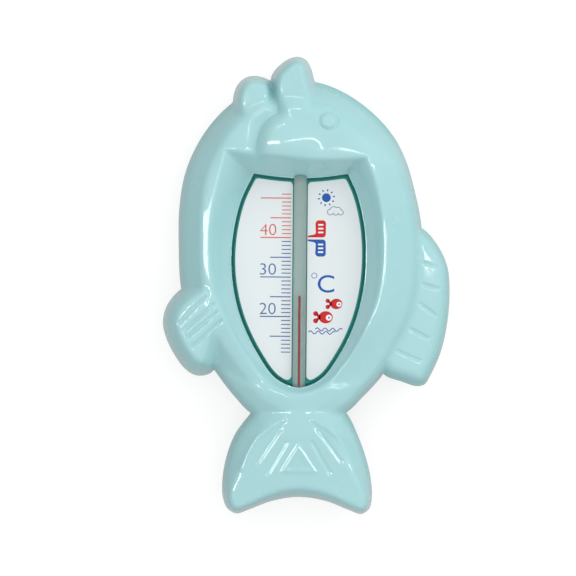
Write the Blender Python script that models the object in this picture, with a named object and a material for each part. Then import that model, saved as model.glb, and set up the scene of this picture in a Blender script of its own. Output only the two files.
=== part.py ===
"""Fish-shaped bath thermometer, lying on its flat back.

The drawing is in millimetres and the scene in metres. X runs to the fish's back, Y to its mouth
and Z from the flat back of the rear shell towards the viewer. The origin is on that flat back,
under the axis of the tube.
"""
import math

import bmesh
import bpy
import numpy as np
from mathutils.geometry import delaunay_2d_cdt

# Overall drawing: every outline below is drawn for this length and scaled to LENGTH.
DRAWN_LENGTH = 150.5
LENGTH = 150.5
SCALE = LENGTH / DRAWN_LENGTH

# Heights of the two shells.
REAR_DEPTH = 10.0      # flat back to the parting line
GAP = 0.3              # clearance between pieces that touch on the real object
WALL = 2.0             # moulded wall
EDGE = 1.5             # upright band beside the parting line
CREST = 12.0           # rim of the window and crest of the body above that band
CREST_FALL = 3.6       # how much lower the crest runs beside the tail's root
HEAD_LIFT = 1.6        # the head stands a little higher than the rim
CHEEK_HEIGHT = 1.8
UPPER_LIP_HEIGHT = 12.0
LOWER_LIP_HEIGHT = 11.0
LIP_HEIGHT = 4.5       # foot of the window's funnel above the band
LIP_RISE = 1.4         # how much higher that foot is at the lower end
FIN_HEIGHT = 13.0
BACK_FIN_HEIGHT = 6.4
TAIL_HEIGHT = 9.2
NECK_HEIGHT = 8.9

# The scale carrier, its cards and the tube.
CARRIER_SEAM = 0.8     # dark seam between carrier and window edge
FLANGE_REACH = 2.2     # how far the flange runs under the window edge
FLANGE_TOP = REAR_DEPTH + 3.0
FLANGE_THICKNESS = 2.0
CARD_TOP = REAR_DEPTH + 4.9
CARD_THICKNESS = 0.3
CARD_BORDER = 0.5      # coloured border left round the cards
TUBE_RADIUS = 2.1
TUBE_AXIS_Z = CARD_TOP + 0.5
TUBE_TOP_Y = 41.0 * SCALE
BULB_RADIUS = 2.7
BULB_SHOULDER_Y = -42.0 * SCALE
BULB_LENGTH = 12.0
BORE_RADIUS = 0.65
SPIRIT_RADIUS = BORE_RADIUS - GAP
SPIRIT_TOP_Y = -4.8 * SCALE   # 25 degrees on the printed scale
GLASS_WALL = 0.6
CUTTER_REACH = 0.4 * LENGTH   # half length of the round cutters along the tube

# Locating pins of the front shell, and the posts that carry the scale carrier.
PIN_RADIUS = 1.3
PIN_REACH = 3.5
SOCKET_WALL = 1.2
POST_RADIUS = 1.8
RIB_THICKNESS = 1.6

# Spacing of the mesh on the sculpted surfaces.
OUTLINE_STEP = 2.0
FACE_STEP = 2.6
UNDER_STEP = 4.6
REAR_STEP = 3.6

BODY = [(-15.0, -43.6), (-21.2, -37.6), (-27.3, -29.8), (-33.2, -21.0), (-37.2, -11.0), (-39.3, 0.0),
        (-39.9, 12.0), (-39.8, 24.0), (-38.0, 35.5), (-33.9, 45.4), (-27.4, 54.5), (-19.4, 61.2),
        (-8.0, 65.8), (4.6, 66.0), (14.0, 62.7), (23.4, 56.2), (30.7, 48.1), (35.0, 39.6), (37.6, 30.6),
        (39.5, 22.0), (40.5, 12.0), (40.2, 0.0), (38.2, -10.0), (34.0, -19.5), (27.4, -30.4),
        (21.0, -37.6), (15.3, -43.0), (0.0, -49.0)]
TAIL = [(-13.5, -41.0), (-16.9, -44.6), (-20.9, -50.2), (-23.5, -57.0), (-24.8, -64.0), (-24.8, -70.2),
        (-23.3, -74.4), (-20.2, -76.2), (-16.4, -75.0), (-8.6, -72.0), (0.0, -70.6), (9.0, -71.8),
        (16.9, -74.8), (20.9, -76.1), (23.6, -74.2), (24.4, -70.0), (23.7, -63.0), (22.0, -56.5),
        (19.2, -49.2), (16.6, -44.0), (13.6, -40.4), (0.0, -35.5)]
BELLY_FIN = [(-37.6, -1.4), (-41.3, -4.6), (-44.0, -8.8), (-44.9, -13.6), (-43.9, -18.2), (-41.3, -23.6),
             (-38.0, -28.2), (-34.6, -30.6), (-31.0, -30.8), (-27.9, -29.0), (-25.4, -22.0),
             (-23.5, -12.0), (-28.0, 0.6), (-32.5, 1.2)]
BACK_FIN = [(36.0, 19.5), (40.6, 17.9), (45.6, 12.2), (48.6, 5.6), (49.4, -3.0), (48.6, -13.6),
            (46.6, -22.6), (43.2, -30.4), (41.4, -33.2), (38.8, -33.8), (34.0, -32.4), (27.6, -29.6),
            (26.0, -20.0), (33.0, 0.0)]
UPPER_LIP = [(-10.2, 63.5), (-9.6, 68.4), (-6.4, 72.1), (-3.4, 73.9), (-0.9, 74.3), (1.4, 73.4),
             (3.0, 71.0), (4.2, 66.8), (5.4, 60.0), (2.5, 51.5), (-4.0, 50.5), (-8.6, 56.0)]
LOWER_LIP = [(-22.0, 55.0), (-22.3, 61.0), (-20.9, 65.0), (-18.3, 67.3), (-15.3, 67.9), (-12.3, 67.3),
             (-9.5, 65.6), (-8.2, 60.0), (-10.0, 53.5), (-16.0, 50.0)]
# A third value of 1 marks a corner of the curve.
WINDOW = [(-15.3, 35.6, 1), (-7.5, 34.6), (0.0, 34.2), (7.5, 34.6), (15.6, 35.7, 1), (18.6, 29.0),
          (20.9, 19.5), (21.7, 9.5), (20.9, -2.0), (18.0, -13.6), (13.0, -24.0), (7.2, -31.6),
          (0.0, -34.4), (-7.4, -31.6), (-13.6, -23.4), (-18.9, -12.6), (-21.7, -2.0), (-22.5, 8.0),
          (-21.6, 18.0), (-19.2, 27.4)]
RIM = [(-25.2, 43.6, 1), (-14.0, 43.2), (0.0, 42.2), (11.0, 41.2), (21.9, 41.2, 1), (25.6, 31.0),
       (27.9, 19.0), (28.1, 7.0), (26.4, -5.0), (21.8, -16.5), (15.0, -27.4), (8.4, -34.4), (0.0, -37.2),
       (-8.6, -34.8), (-16.0, -27.4), (-23.4, -15.0), (-28.9, -3.0), (-30.6, 8.0), (-30.4, 20.0),
       (-28.0, 31.0)]
MOUTH = [(-10.4, 66.4), (-8.9, 62.6), (-7.7, 58.6), (-7.3, 55.6), (-10.2, 53.6), (-12.7, 50.6),
         (-14.0, 47.0), (-14.5, 43.0), (-14.6, 38.0)]
BELLY_GROOVES = [((-39.2, -13.7), (-30.8, -4.7)), ((-37.6, -16.0), (-27.9, -7.4)),
                 ((-36.4, -18.0), (-26.9, -10.0)), ((-34.8, -21.1), (-25.6, -12.8))]
BACK_RIBS = [((40.8, 6.7), (45.6, 5.4)), ((40.6, -0.3), (46.0, -1.7)), ((39.6, -6.6), (44.8, -10.4)),
             ((36.4, -14.8), (42.3, -17.9)), ((32.0, -22.0), (39.5, -25.3))]
TAIL_RAYS = [((-6.0, -47.9), (-13.1, -58.5)), ((-4.1, -52.4), (-9.8, -62.2)), ((4.7, -52.4), (10.3, -62.0)),
             ((6.6, -48.5), (14.0, -58.3))]
TAIL_SWEEP = [(-4.7, -44.7), (-8.8, -47.2), (-13.7, -50.8), (-16.9, -56.3), (-18.6, -61.0)]
TAIL_TRIANGLE = [(0.0, -53.1), (-5.6, -62.0), (6.0, -62.0)]
UPPER_SPINE = [(-1.6, 67.5), (-0.6, 56.0)]
LOWER_SPINE = [(-15.6, 62.0), (-13.0, 54.0)]
EYE = (8.9, 52.8)
CHEEK = (-5.6, 46.2)
CHEEK_RADIUS = 9.3
PINS = [(-32.3, 12.0), (33.4, 12.0), (-21.5, 49.5), (20.5, 47.8), (-13.5, -64.0), (13.5, -64.0)]
POSTS = [(-11.0, 27.0), (11.0, 27.0), (-16.0, 2.0), (16.0, 2.0), (-8.0, -22.0), (8.0, -22.0)]
VENT_Y = (-44.0, -48.0, -52.0)
VENT_SIZE = (9.0, 2.0)


def drawn(points):
    """Outline points at the real size."""
    return [(p[0] * SCALE, p[1] * SCALE) + tuple(p[2:]) for p in points]


def spline(points, spacing, closed=True):
    """Smooth curve through the points, centripetal so that it never loops."""
    points = drawn(points)
    xy = np.array([p[:2] for p in points])
    corner = [len(p) > 2 for p in points]
    count = len(xy)
    line = []
    for i in range(count if closed else count - 1):
        j = (i + 1) % count
        p1 = xy[i]
        p2 = xy[j]
        before = corner[i] or (not closed and i == 0)
        after = corner[j] or (not closed and j == count - 1)
        p0 = 2 * p1 - p2 if before else xy[i - 1]
        p3 = 2 * p2 - p1 if after else xy[(i + 2) % count]
        d0, d1, d2 = [math.sqrt(np.hypot(*(b - a))) for a, b in ((p0, p1), (p1, p2), (p2, p3))]
        m1 = ((p1 - p0) / d0 - (p2 - p0) / (d0 + d1) + (p2 - p1) / d1) * d1
        m2 = ((p2 - p1) / d1 - (p3 - p1) / (d1 + d2) + (p3 - p2) / d2) * d1
        steps = max(1, round(np.hypot(*(p2 - p1)) / spacing))
        for k in range(steps):
            t = k / steps
            line.append((2 * t**3 - 3 * t**2 + 1) * p1 + (t**3 - 2 * t**2 + t) * m1
                        + (3 * t**2 - 2 * t**3) * p2 + (t**3 - t**2) * m2)
    if not closed:
        line.append(xy[-1])
    return np.array(line)


def nearest(p, line, closed=True):
    """Distance of the points to a line, and whether they lie on its left."""
    a = line if closed else line[:-1]
    b = np.roll(line, -1, 0) if closed else line[1:]
    best = np.full(len(p), 1e9)
    left = np.zeros(len(p), bool)
    for u, v in zip(a, b):
        w = v - u
        t = np.clip(((p - u) @ w) / max(w @ w, 1e-12), 0, 1)
        q = p - u - t[:, None] * w
        d = (q * q).sum(1)
        closer = d < best
        best = np.where(closer, d, best)
        left = np.where(closer, w[0] * q[:, 1] - w[1] * q[:, 0] > 0, left)
    return np.sqrt(best), left


def inside(p, line):
    """Even-odd test against a closed line."""
    odd = np.zeros(len(p), bool)
    for (x1, y1), (x2, y2) in zip(line, np.roll(line, -1, 0)):
        if y1 != y2:
            crossing = x1 + (x2 - x1) * (p[:, 1] - y1) / (y2 - y1)
            odd ^= ((y1 > p[:, 1]) != (y2 > p[:, 1])) & (p[:, 0] < crossing)
    return odd


def depth(p, line):
    """Distance inside a closed line, negative outside it."""
    d = nearest(p, line)[0]
    return np.where(inside(p, line), d, -d)


def to_line(p, ends):
    """Distance to a short straight line."""
    return nearest(p, np.array(drawn(ends)), closed=False)[0]


def step(x, low, high):
    t = np.clip((x - low) / (high - low), 0, 1)
    return t * t * (3 - 2 * t)


def blend(a, b, k):
    """The higher of two surfaces with a fillet of about k between them."""
    h = np.clip(0.5 + 0.5 * (b - a) / k, 0, 1)
    return a + (b - a) * h + k * h * (1 - h)


def mesa(d, lip, lip_width, top, width):
    """Round lip along an outline, then a straight flank up to a flat top."""
    round_lip = lip * (1 - (1 - np.clip(d / lip_width, 0, 1)) ** 2)
    return np.where(d > 0, round_lip + (top - lip) * np.clip(d / width, 0, 1), 3 * d)


def pillow(d, height, width, power):
    """Rises from nothing at an outline to its height at width inside it."""
    t = np.clip(d / width, 0, 1)
    return np.where(d > 0, height * (1 - (1 - t) ** power), 3 * d)


def trough(d, half_width):
    return step(1 - d / half_width, 0, 1)


CURVES = {name: spline(points, OUTLINE_STEP) for name, points in (
    ("body", BODY), ("tail", TAIL), ("belly_fin", BELLY_FIN), ("back_fin", BACK_FIN),
    ("upper_lip", UPPER_LIP), ("lower_lip", LOWER_LIP))}
WINDOW_LINE = spline(WINDOW, OUTLINE_STEP)
RIM_LINE = spline(RIM, OUTLINE_STEP)
MOUTH_LINE = spline(MOUTH, OUTLINE_STEP, closed=False)


def mouth_side(p):
    """Distance to the mouth's line, positive on the head's side."""
    away, left = nearest(p, MOUTH_LINE, closed=False)
    return np.where(left, away, -away)


def body_form(p):
    """Body and head: steep on the belly's side, broad on the back's."""
    x, y = p[:, 0] / SCALE, p[:, 1] / SCALE
    inner = depth(p, CURVES["body"])
    back = step(x, -22, 18)
    crest = CREST - CREST_FALL * step(-y, 8, 38)
    flank = mesa(inner, 4.0 + 3.5 * back, 2.2 + 1.2 * back, crest, 7.4 + 4.6 * back)
    dome = pillow(inner, CREST, 8.0 + 8.0 * back, 1.7 + 1.1 * back)
    body = flank + (dome - flank) * step(y, 30, 46)
    # The head stands higher than the jaw, with a crease between them.
    side = mouth_side(p)
    swell = step(y, 18, 46) * step(side, -0.6, 3.4)
    body = body + np.where(inner > 0, HEAD_LIFT * swell * np.clip(inner / 10, 0, 1) ** 0.7, 0)
    crease = trough(np.abs(side + 0.9), 2.6) * step(y, 38, 47)
    body = body - 0.9 * crease * np.clip(inner / 6, 0, 1)
    # The cheek is a shallow ball, clear on the jaw's side and fading towards the eye.
    fade = step(x, CHEEK[0] - 3, CHEEK[0] + 9)
    r = np.hypot((x - CHEEK[0]) / (1 + 0.35 * fade), y - CHEEK[1]) / CHEEK_RADIUS
    return body + CHEEK_HEIGHT * np.clip(1 - r**2, 0, 1) ** (0.8 + 1.2 * fade)


def lobe(p, line, spine, height):
    """Domed form: steep at its outline and highest along its spine."""
    dome = height - 0.055 * to_line(p, spine) ** 2
    return -blend(-pillow(depth(p, line), height + 1, 4.2, 2.0), -dome, 1.0)


def main_forms(p):
    """Body, lips, fins, neck and tail, each joined to the next with a fillet."""
    x, y = p[:, 0] / SCALE, p[:, 1] / SCALE
    z = blend(body_form(p), lobe(p, CURVES["upper_lip"], UPPER_SPINE, UPPER_LIP_HEIGHT), 2.6)
    z = blend(z, lobe(p, CURVES["lower_lip"], LOWER_SPINE, LOWER_LIP_HEIGHT), 2.6)
    z = blend(z, mesa(depth(p, CURVES["belly_fin"]), 5.0, 1.8, FIN_HEIGHT, 4.6), 0.6)
    z = blend(z, mesa(depth(p, CURVES["back_fin"]), 3.4, 1.6, BACK_FIN_HEIGHT, 3.4), 0.5)
    flank = 1.5 + 4.8 * step(y, -75, -56)
    tail = mesa(depth(p, CURVES["tail"]), 4.0, np.minimum(flank, 2.0), TAIL_HEIGHT, flank)
    neck = NECK_HEIGHT - 0.05 * x**2 - 0.02 * np.clip(np.abs(y + 42) - 3, 0, None) ** 2
    return blend(blend(z, tail, 1.2), neck, 2.5)


def softened(form, p, radius=1.3):
    """A form as polishing leaves it: its heights averaged over a small disc."""
    total = 0.4 * form(p)
    for k in range(6):
        angle = math.pi * k / 3
        total = total + 0.1 * form(p + radius * np.array([math.cos(angle), math.sin(angle)]))
    return total


def fine_forms(p, z):
    """Grooves, ribs, tail rays, the mouth's crease and the eye."""
    x, y = p[:, 0] / SCALE, p[:, 1] / SCALE
    for ends in BELLY_GROOVES:
        z = z - 0.4 * trough(to_line(p, ends), 0.75)
    for ends in BACK_RIBS:
        z = z - 0.3 * trough(to_line(p, ends), 0.7)
    for ends in TAIL_RAYS:
        z = z - 0.35 * trough(to_line(p, ends), 0.9)
    for flip in (1, -1):
        z = z + 0.3 * trough(to_line(p, [(flip * a, b) for a, b in TAIL_SWEEP]), 1.3)
    edge = depth(p, np.array(drawn(TAIL_TRIANGLE)))
    z = z + 0.3 * step(edge, -0.5, 0.3) - 0.2 * step(edge, 0.6, 1.3)
    crease = trough(np.abs(mouth_side(p) + 0.3), 1.0) * step(y, 39, 43)
    z = z - 0.55 * crease * step(-y, -66, -60)
    ring = np.hypot(x - EYE[0], y - EYE[1])
    return z - 0.35 * trough(np.abs(ring - 3.0), 0.7) + 0.3 * step(-ring, -2.6, -1.0)


def front_relief(p, detail=True):
    """Height of the fish's front above the upright band."""
    z = softened(main_forms, p)
    if detail:
        z = fine_forms(p, z)
    # The funnel falls from the rim to the foot beside the window.
    out = np.clip(-depth(p, WINDOW_LINE) - 0.4, 0, None)
    rise = depth(p, RIM_LINE)
    rise = 0.5 * (rise + np.sqrt(rise**2 + 0.8))
    share = out / np.maximum(out + rise, 1e-6)
    foot = LIP_HEIGHT + LIP_RISE * step(-p[:, 1], 18 * SCALE, 34 * SCALE)
    return foot + (np.maximum(z, 0) - foot) * (1 - (1 - share) ** 1.4)


def rear_relief(p):
    """Depth of the fish's back below the upright band, flat at the body's full depth."""
    z = pillow(depth(p, CURVES["body"]), REAR_DEPTH - EDGE, 6.5, 2.2)
    z = blend(z, pillow(depth(p, CURVES["tail"]), 5.5, 5.0, 2.0), 1.0)
    z = blend(z, pillow(depth(p, CURVES["belly_fin"]), 5.0, 4.5, 2.0), 1.0)
    z = blend(z, pillow(depth(p, CURVES["back_fin"]), 4.0, 4.0, 2.0), 1.0)
    z = blend(z, pillow(depth(p, CURVES["upper_lip"]), 5.5, 4.5, 2.0), 1.0)
    z = blend(z, pillow(depth(p, CURVES["lower_lip"]), 5.5, 4.5, 2.0), 1.0)
    return np.clip(z, 0, REAR_DEPTH - EDGE)


def slope(height, p):
    h = 0.25
    gx = (height(p + (h, 0)) - height(p - (h, 0))) / (2 * h)
    gy = (height(p + (0, h)) - height(p - (0, h))) / (2 * h)
    return np.sqrt(1 + gx**2 + gy**2)


def offset(line, distance):
    """A closed line moved outwards by a distance, or inwards by a negative one."""
    before = line - np.roll(line, 1, 0)
    after = np.roll(line, -1, 0) - line
    before = before / np.linalg.norm(before, axis=1, keepdims=True)
    after = after / np.linalg.norm(after, axis=1, keepdims=True)
    mitre = before + after
    mitre = mitre / np.linalg.norm(mitre, axis=1, keepdims=True)
    normal = np.stack([mitre[:, 1], -mitre[:, 0]], 1)
    area = (line[:, 0] * np.roll(line[:, 1], -1) - np.roll(line[:, 0], -1) * line[:, 1]).sum()
    stretch = 1 / np.maximum((before * mitre).sum(1), 0.6)
    return line + normal * (math.copysign(distance, area * distance) * stretch)[:, None]


def triangles(points, edges, keep):
    """Triangulated points, with the given edges kept and the triangles that pass the test."""
    result = delaunay_2d_cdt([tuple(p) for p in points], edges, [], 0, 1e-7)
    xy = np.array([tuple(v) for v in result[0]])
    tri = np.array(result[2])
    return xy, tri[keep(xy[tri].mean(1))]


def loop_edges(count, start=0):
    return [(start + i, start + (i + 1) % count) for i in range(count)]


def union_outline(lines, apart):
    """The outer boundary of several overlapping closed lines, its points at least so far apart."""
    points = np.concatenate(lines)
    edges = []
    start = 0
    for line in lines:
        edges += loop_edges(len(line), start)
        start += len(line)
    xy, tri = triangles(points, edges, lambda c: np.any([inside(c, line) for line in lines], 0))
    sides = [tuple(t[[k, (k + 1) % 3]]) for t in tri for k in range(3)]
    once = set(sides)
    following = {a: b for a, b in sides if (b, a) not in once}
    loops = []
    while following:
        start = next(iter(following))
        loop = []
        at = start
        while at in following:
            loop.append(at)
            at = following.pop(at)
        loops.append(loop)
    line = xy[max(loops, key=len)]
    kept = [line[0]]
    for p in line[1:]:
        if np.hypot(*(p - kept[-1])) > apart and np.hypot(*(p - kept[0])) > apart:
            kept.append(p)
    return np.array(kept)


def thinned(fixed, more, apart):
    """The points of a second set that stay clear of the first and of each other."""
    kept = []
    for p in more:
        if np.min(((fixed - p) ** 2).sum(1)) > apart**2:
            if not kept or np.min(((np.array(kept) - p) ** 2).sum(1)) > apart**2:
                kept.append(p)
    return np.array(kept).reshape(-1, 2)


def hexagon_grid(spacing):
    low = np.min([c.min(0) for c in CURVES.values()], 0)
    high = np.max([c.max(0) for c in CURVES.values()], 0)
    rows = np.arange(low[1], high[1], spacing * math.sqrt(0.75))
    columns = np.arange(low[0], high[0], spacing)
    return np.array([(x + spacing / 2 * (i % 2), y) for i, y in enumerate(rows) for x in columns])


def beside(ends, reach, spacing):
    """Rows of points on a short line and on both sides of it."""
    a, b = np.array(drawn(ends))
    steps = max(2, round(np.hypot(*(b - a)) / spacing))
    along = (b - a) / np.hypot(*(b - a))
    across = np.array([-along[1], along[0]]) * reach
    return [a + (b - a) * k / steps + across * s for s in (0, -1, 1) for k in range(steps + 1)]


def shell(name, outline, hollow, face_points, under_points, face, under, base, hole=None):
    """Closed moulded shell: sculpted face, rim on the parting line, hollow behind."""
    def field(border, extra, height):
        rings = [border] if hole is None else [border, hole]
        edges = loop_edges(len(border))
        if hole is not None:
            edges += loop_edges(len(hole), len(border))
        fixed = np.concatenate(rings)
        def wanted(c):
            return inside(c, border) & (True if hole is None else ~inside(c, hole))
        extra = extra[wanted(extra)]
        xy, tri = triangles(np.concatenate([fixed, extra]), edges, wanted)
        return xy, tri, height(xy)
    points = []
    faces = []
    parts = []
    for border, extra, height in ((outline, face_points, face), (hollow, under_points, under)):
        xy, tri, z = field(border, extra, height)
        start = len(points)
        points += [(x, y, h) for (x, y), h in zip(xy, z)]
        faces += [tuple(int(i) + start for i in t) for t in tri]
        parts.append((start, xy))
    flat = np.concatenate([outline, hollow])
    edges = loop_edges(len(outline)) + loop_edges(len(hollow), len(outline))
    xy, tri = triangles(flat, edges, lambda c: inside(c, outline) & ~inside(c, hollow))
    start = len(points)
    points += [(x, y, base) for x, y in xy]
    faces += [tuple(int(i) + start for i in t) for t in tri]
    walls = [(parts[0][0], start, len(outline)), (parts[1][0], start + len(outline), len(hollow))]
    if hole is not None:
        walls.append((parts[0][0] + len(outline), parts[1][0] + len(hollow), len(hole)))
    for upper, lower, count in walls:
        for i in range(count):
            j = (i + 1) % count
            faces.append((upper + i, upper + j, lower + j, lower + i))
    return solid(name, points, faces)


def solid(name, points, faces):
    """Mesh object from millimetre points, its faces turned outwards."""
    mesh = bpy.data.meshes.new(name)
    mesh.from_pydata([tuple(c / 1000 for c in p) for p in points], [], faces)
    bm = bmesh.new()
    bm.from_mesh(mesh)
    bmesh.ops.recalc_face_normals(bm, faces=bm.faces)
    bm.to_mesh(mesh)
    bm.free()
    obj = bpy.data.objects.new(name, mesh)
    parts.objects.link(obj)
    return obj


def plate(name, line, low, high):
    """Flat outline raised into a plate."""
    bm = bmesh.new()
    face = bm.faces.new([bm.verts.new((x / 1000, y / 1000, low / 1000)) for x, y in line])
    raised = bmesh.ops.extrude_face_region(bm, geom=[face])["geom"]
    moved = [v for v in raised if isinstance(v, bmesh.types.BMVert)]
    bmesh.ops.translate(bm, verts=moved, vec=(0, 0, (high - low) / 1000))
    return from_bmesh(name, bm)


def from_bmesh(name, bm):
    bmesh.ops.recalc_face_normals(bm, faces=bm.faces)
    mesh = bpy.data.meshes.new(name)
    bm.to_mesh(mesh)
    bm.free()
    obj = bpy.data.objects.new(name, mesh)
    parts.objects.link(obj)
    return obj


def turned(name, profile, segments=24):
    """Profile of radius and Y turned round the tube's axis."""
    bm = bmesh.new()
    verts = [bm.verts.new((r / 1000, y / 1000, TUBE_AXIS_Z / 1000)) for r, y in profile]
    lines = [bm.edges.new(pair) for pair in zip(verts, verts[1:])]
    bmesh.ops.spin(bm, geom=verts + lines, cent=(0, 0, TUBE_AXIS_Z / 1000), axis=(0, 1, 0),
                   angle=2 * math.pi, steps=segments, use_merge=True)
    bmesh.ops.remove_doubles(bm, verts=bm.verts, dist=1e-6)
    return from_bmesh(name, bm)


def column(name, radius, low, high, x, y, segments=16):
    """Upright round post."""
    bm = bmesh.new()
    bmesh.ops.create_cone(bm, cap_ends=True, segments=segments, radius1=radius / 1000,
                          radius2=radius / 1000, depth=(high - low) / 1000)
    bmesh.ops.translate(bm, verts=bm.verts, vec=(x / 1000, y / 1000, (low + high) / 2000))
    return from_bmesh(name, bm)


def block(name, low, high):
    """Box between two corners."""
    bm = bmesh.new()
    bmesh.ops.create_cube(bm, size=1)
    size = [(b - a) / 1000 for a, b in zip(low, high)]
    bmesh.ops.scale(bm, verts=bm.verts, vec=size)
    bmesh.ops.translate(bm, verts=bm.verts, vec=[(a + b) / 2000 for a, b in zip(low, high)])
    return from_bmesh(name, bm)


def combine(target, tools, operation):
    """Exact Boolean of one piece with each tool, the tools kept out of sight."""
    for number, tool in enumerate(tools):
        parts.objects.unlink(tool)
        cutters.objects.link(tool)
        tool.hide_render = True
        tool.display_type = "WIRE"
        modifier = target.modifiers.new(f"{operation.lower()} {number}", "BOOLEAN")
        modifier.object = tool
        modifier.operation = operation
        modifier.solver = "EXACT"


def paint(obj, colour, roughness, metallic=0.0):
    material = bpy.data.materials.new(obj.name)
    material.use_nodes = True
    surface = material.node_tree.nodes["Principled BSDF"]
    surface.inputs["Base Color"].default_value = (*colour, 1)
    surface.inputs["Roughness"].default_value = roughness
    surface.inputs["Metallic"].default_value = metallic
    obj.data.materials.append(material)


def rounded(line, radius, sharp=0.6):
    """Closed line with its sharp corners replaced by arcs."""
    out = []
    count = len(line)
    for i in range(count):
        p = line[i]
        a = line[i - 1] - p
        b = line[(i + 1) % count] - p
        a = a / np.hypot(*a)
        b = b / np.hypot(*b)
        turn = math.pi - math.acos(np.clip(a @ b, -1, 1))
        if turn < sharp:
            out.append(p)
            continue
        reach = radius * math.tan(turn / 2)
        centre = p + (a + b) / np.hypot(*(a + b)) * radius / math.cos(turn / 2)
        first = p + a * reach - centre
        last = p + b * reach - centre
        for k in range(5):
            arm = first * (1 - k / 4) + last * k / 4
            out.append(centre + arm / np.hypot(*arm) * radius)
    return np.array(out)


def card_line(side):
    """One card's outline: the carrier's edge on one side of the tube."""
    edge = offset(WINDOW_LINE, -(CARRIER_SEAM + CARD_BORDER))
    limit = TUBE_RADIUS + GAP + 0.05
    kept = []
    for a, b in zip(edge, np.roll(edge, -1, 0)):
        if a[0] * side > limit + 1.0:
            kept.append(a)
        if (a[0] * side > limit) != (b[0] * side > limit):
            t = (limit * side - a[0]) / (b[0] - a[0])
            kept.append(a + (b - a) * t)
    start = max(range(len(kept)), key=lambda i: np.hypot(*(kept[i] - kept[i - 1])))
    return rounded(np.array(kept[start:] + kept[:start]), 1.3)


for old in list(bpy.data.objects):
    bpy.data.objects.remove(old, do_unlink=True)
parts = bpy.data.collections.new("fish bath thermometer")
cutters = bpy.data.collections.new("cutters")
cutters.hide_render = True
bpy.context.scene.collection.children.link(parts)
bpy.context.scene.collection.children.link(cutters)

# Outline of the whole fish, and of the hollow inside its walls.
fish = union_outline(list(CURVES.values()), 0.4)
hollow = union_outline([offset(line, -WALL) for line in CURVES.values()], 2.3)


def fish_depth(p):
    return np.max([depth(p, line) for line in CURVES.values()], 0)


# Points that carry the sculpted front: rows inside the edges, both sides of each crease, then a grid.
rows = []
for reach in (0.8, 2.0, 3.6, 5.4, 7.4):
    for line in CURVES.values():
        row = offset(line, -reach)
        rows.append(row[np.abs(fish_depth(row) - reach) < 0.12 * reach + 0.05])
detail_rows = []
for ends in BELLY_GROOVES + BACK_RIBS + TAIL_RAYS:
    detail_rows += beside(ends, 1.0, 1.6)
for ends in zip(TAIL_TRIANGLE, TAIL_TRIANGLE[1:] + TAIL_TRIANGLE[:1]):
    detail_rows += beside(ends, 1.0, 1.8)
for radius, count in ((0.01, 1), (1.2, 8), (2.1, 14), (2.9, 18), (3.8, 20)):
    for k in range(count):
        angle = 2 * math.pi * k / count
        centre = np.array(drawn([EYE])[0])
        detail_rows.append(centre + radius * SCALE * np.array([math.cos(angle), math.sin(angle)]))
funnel = [RIM_LINE, offset(RIM_LINE, 1.3), offset(RIM_LINE, -1.2)]
funnel += [offset(WINDOW_LINE, reach) for reach in (0.5, 1.6, 3.2)]
creases = [MOUTH_LINE, MOUTH_LINE + (1.4, 0.3), MOUTH_LINE - (1.4, 0.3)]
front_points = thinned(np.concatenate([fish, WINDOW_LINE]), np.array(detail_rows), 0.5)
for group, apart in ((funnel, 0.8), (creases, 0.9), (rows, 0.9), ([hexagon_grid(FACE_STEP)], 1.3)):
    known = np.concatenate([fish, WINDOW_LINE, front_points])
    front_points = np.concatenate([front_points, thinned(known, np.concatenate(group), apart)])

under_rows = [offset(line, -reach) for line in CURVES.values() for reach in (WALL + 1.6, WALL + 4.0)]
under_rows = [row[np.abs(fish_depth(row) - reach) < 0.5] for row, reach in
              zip(under_rows, (WALL + 1.6, WALL + 4.0) * len(CURVES))]
under_points = thinned(np.concatenate([hollow, WINDOW_LINE]), np.concatenate(
    [offset(WINDOW_LINE, FLANGE_REACH + 1.5), offset(RIM_LINE, 0)]), 1.6)
for group in (under_rows, [hexagon_grid(UNDER_STEP)]):
    known = np.concatenate([hollow, WINDOW_LINE, under_points])
    under_points = np.concatenate([under_points, thinned(known, np.concatenate(group), 1.8)])


def front_face(p):
    return REAR_DEPTH + EDGE + np.where(fish_depth(p) < 0.02, 0, front_relief(p))


def plain_front(p):
    return front_relief(p, detail=False)


def front_under(p):
    thick = np.minimum(WALL * slope(plain_front, p), 2.4 * WALL)
    height = REAR_DEPTH + EDGE + plain_front(p) - thick
    beside_window = -depth(p, WINDOW_LINE) < 0.6
    height = np.where(beside_window, REAR_DEPTH + EDGE + LIP_HEIGHT - WALL, height)
    return np.maximum(height, REAR_DEPTH + 1.0)


def rear_face(p):
    return REAR_DEPTH - EDGE - np.where(fish_depth(p) < 0.02, 0, rear_relief(p))


def rear_under(p):
    thick = np.minimum(WALL * slope(rear_relief, p), 2.2 * WALL)
    return np.minimum(REAR_DEPTH - EDGE - rear_relief(p) + thick, REAR_DEPTH - 1.0)


front = shell("front_shell", fish, hollow, front_points, under_points, front_face, front_under,
              REAR_DEPTH + GAP / 2, hole=WINDOW_LINE)

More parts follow.
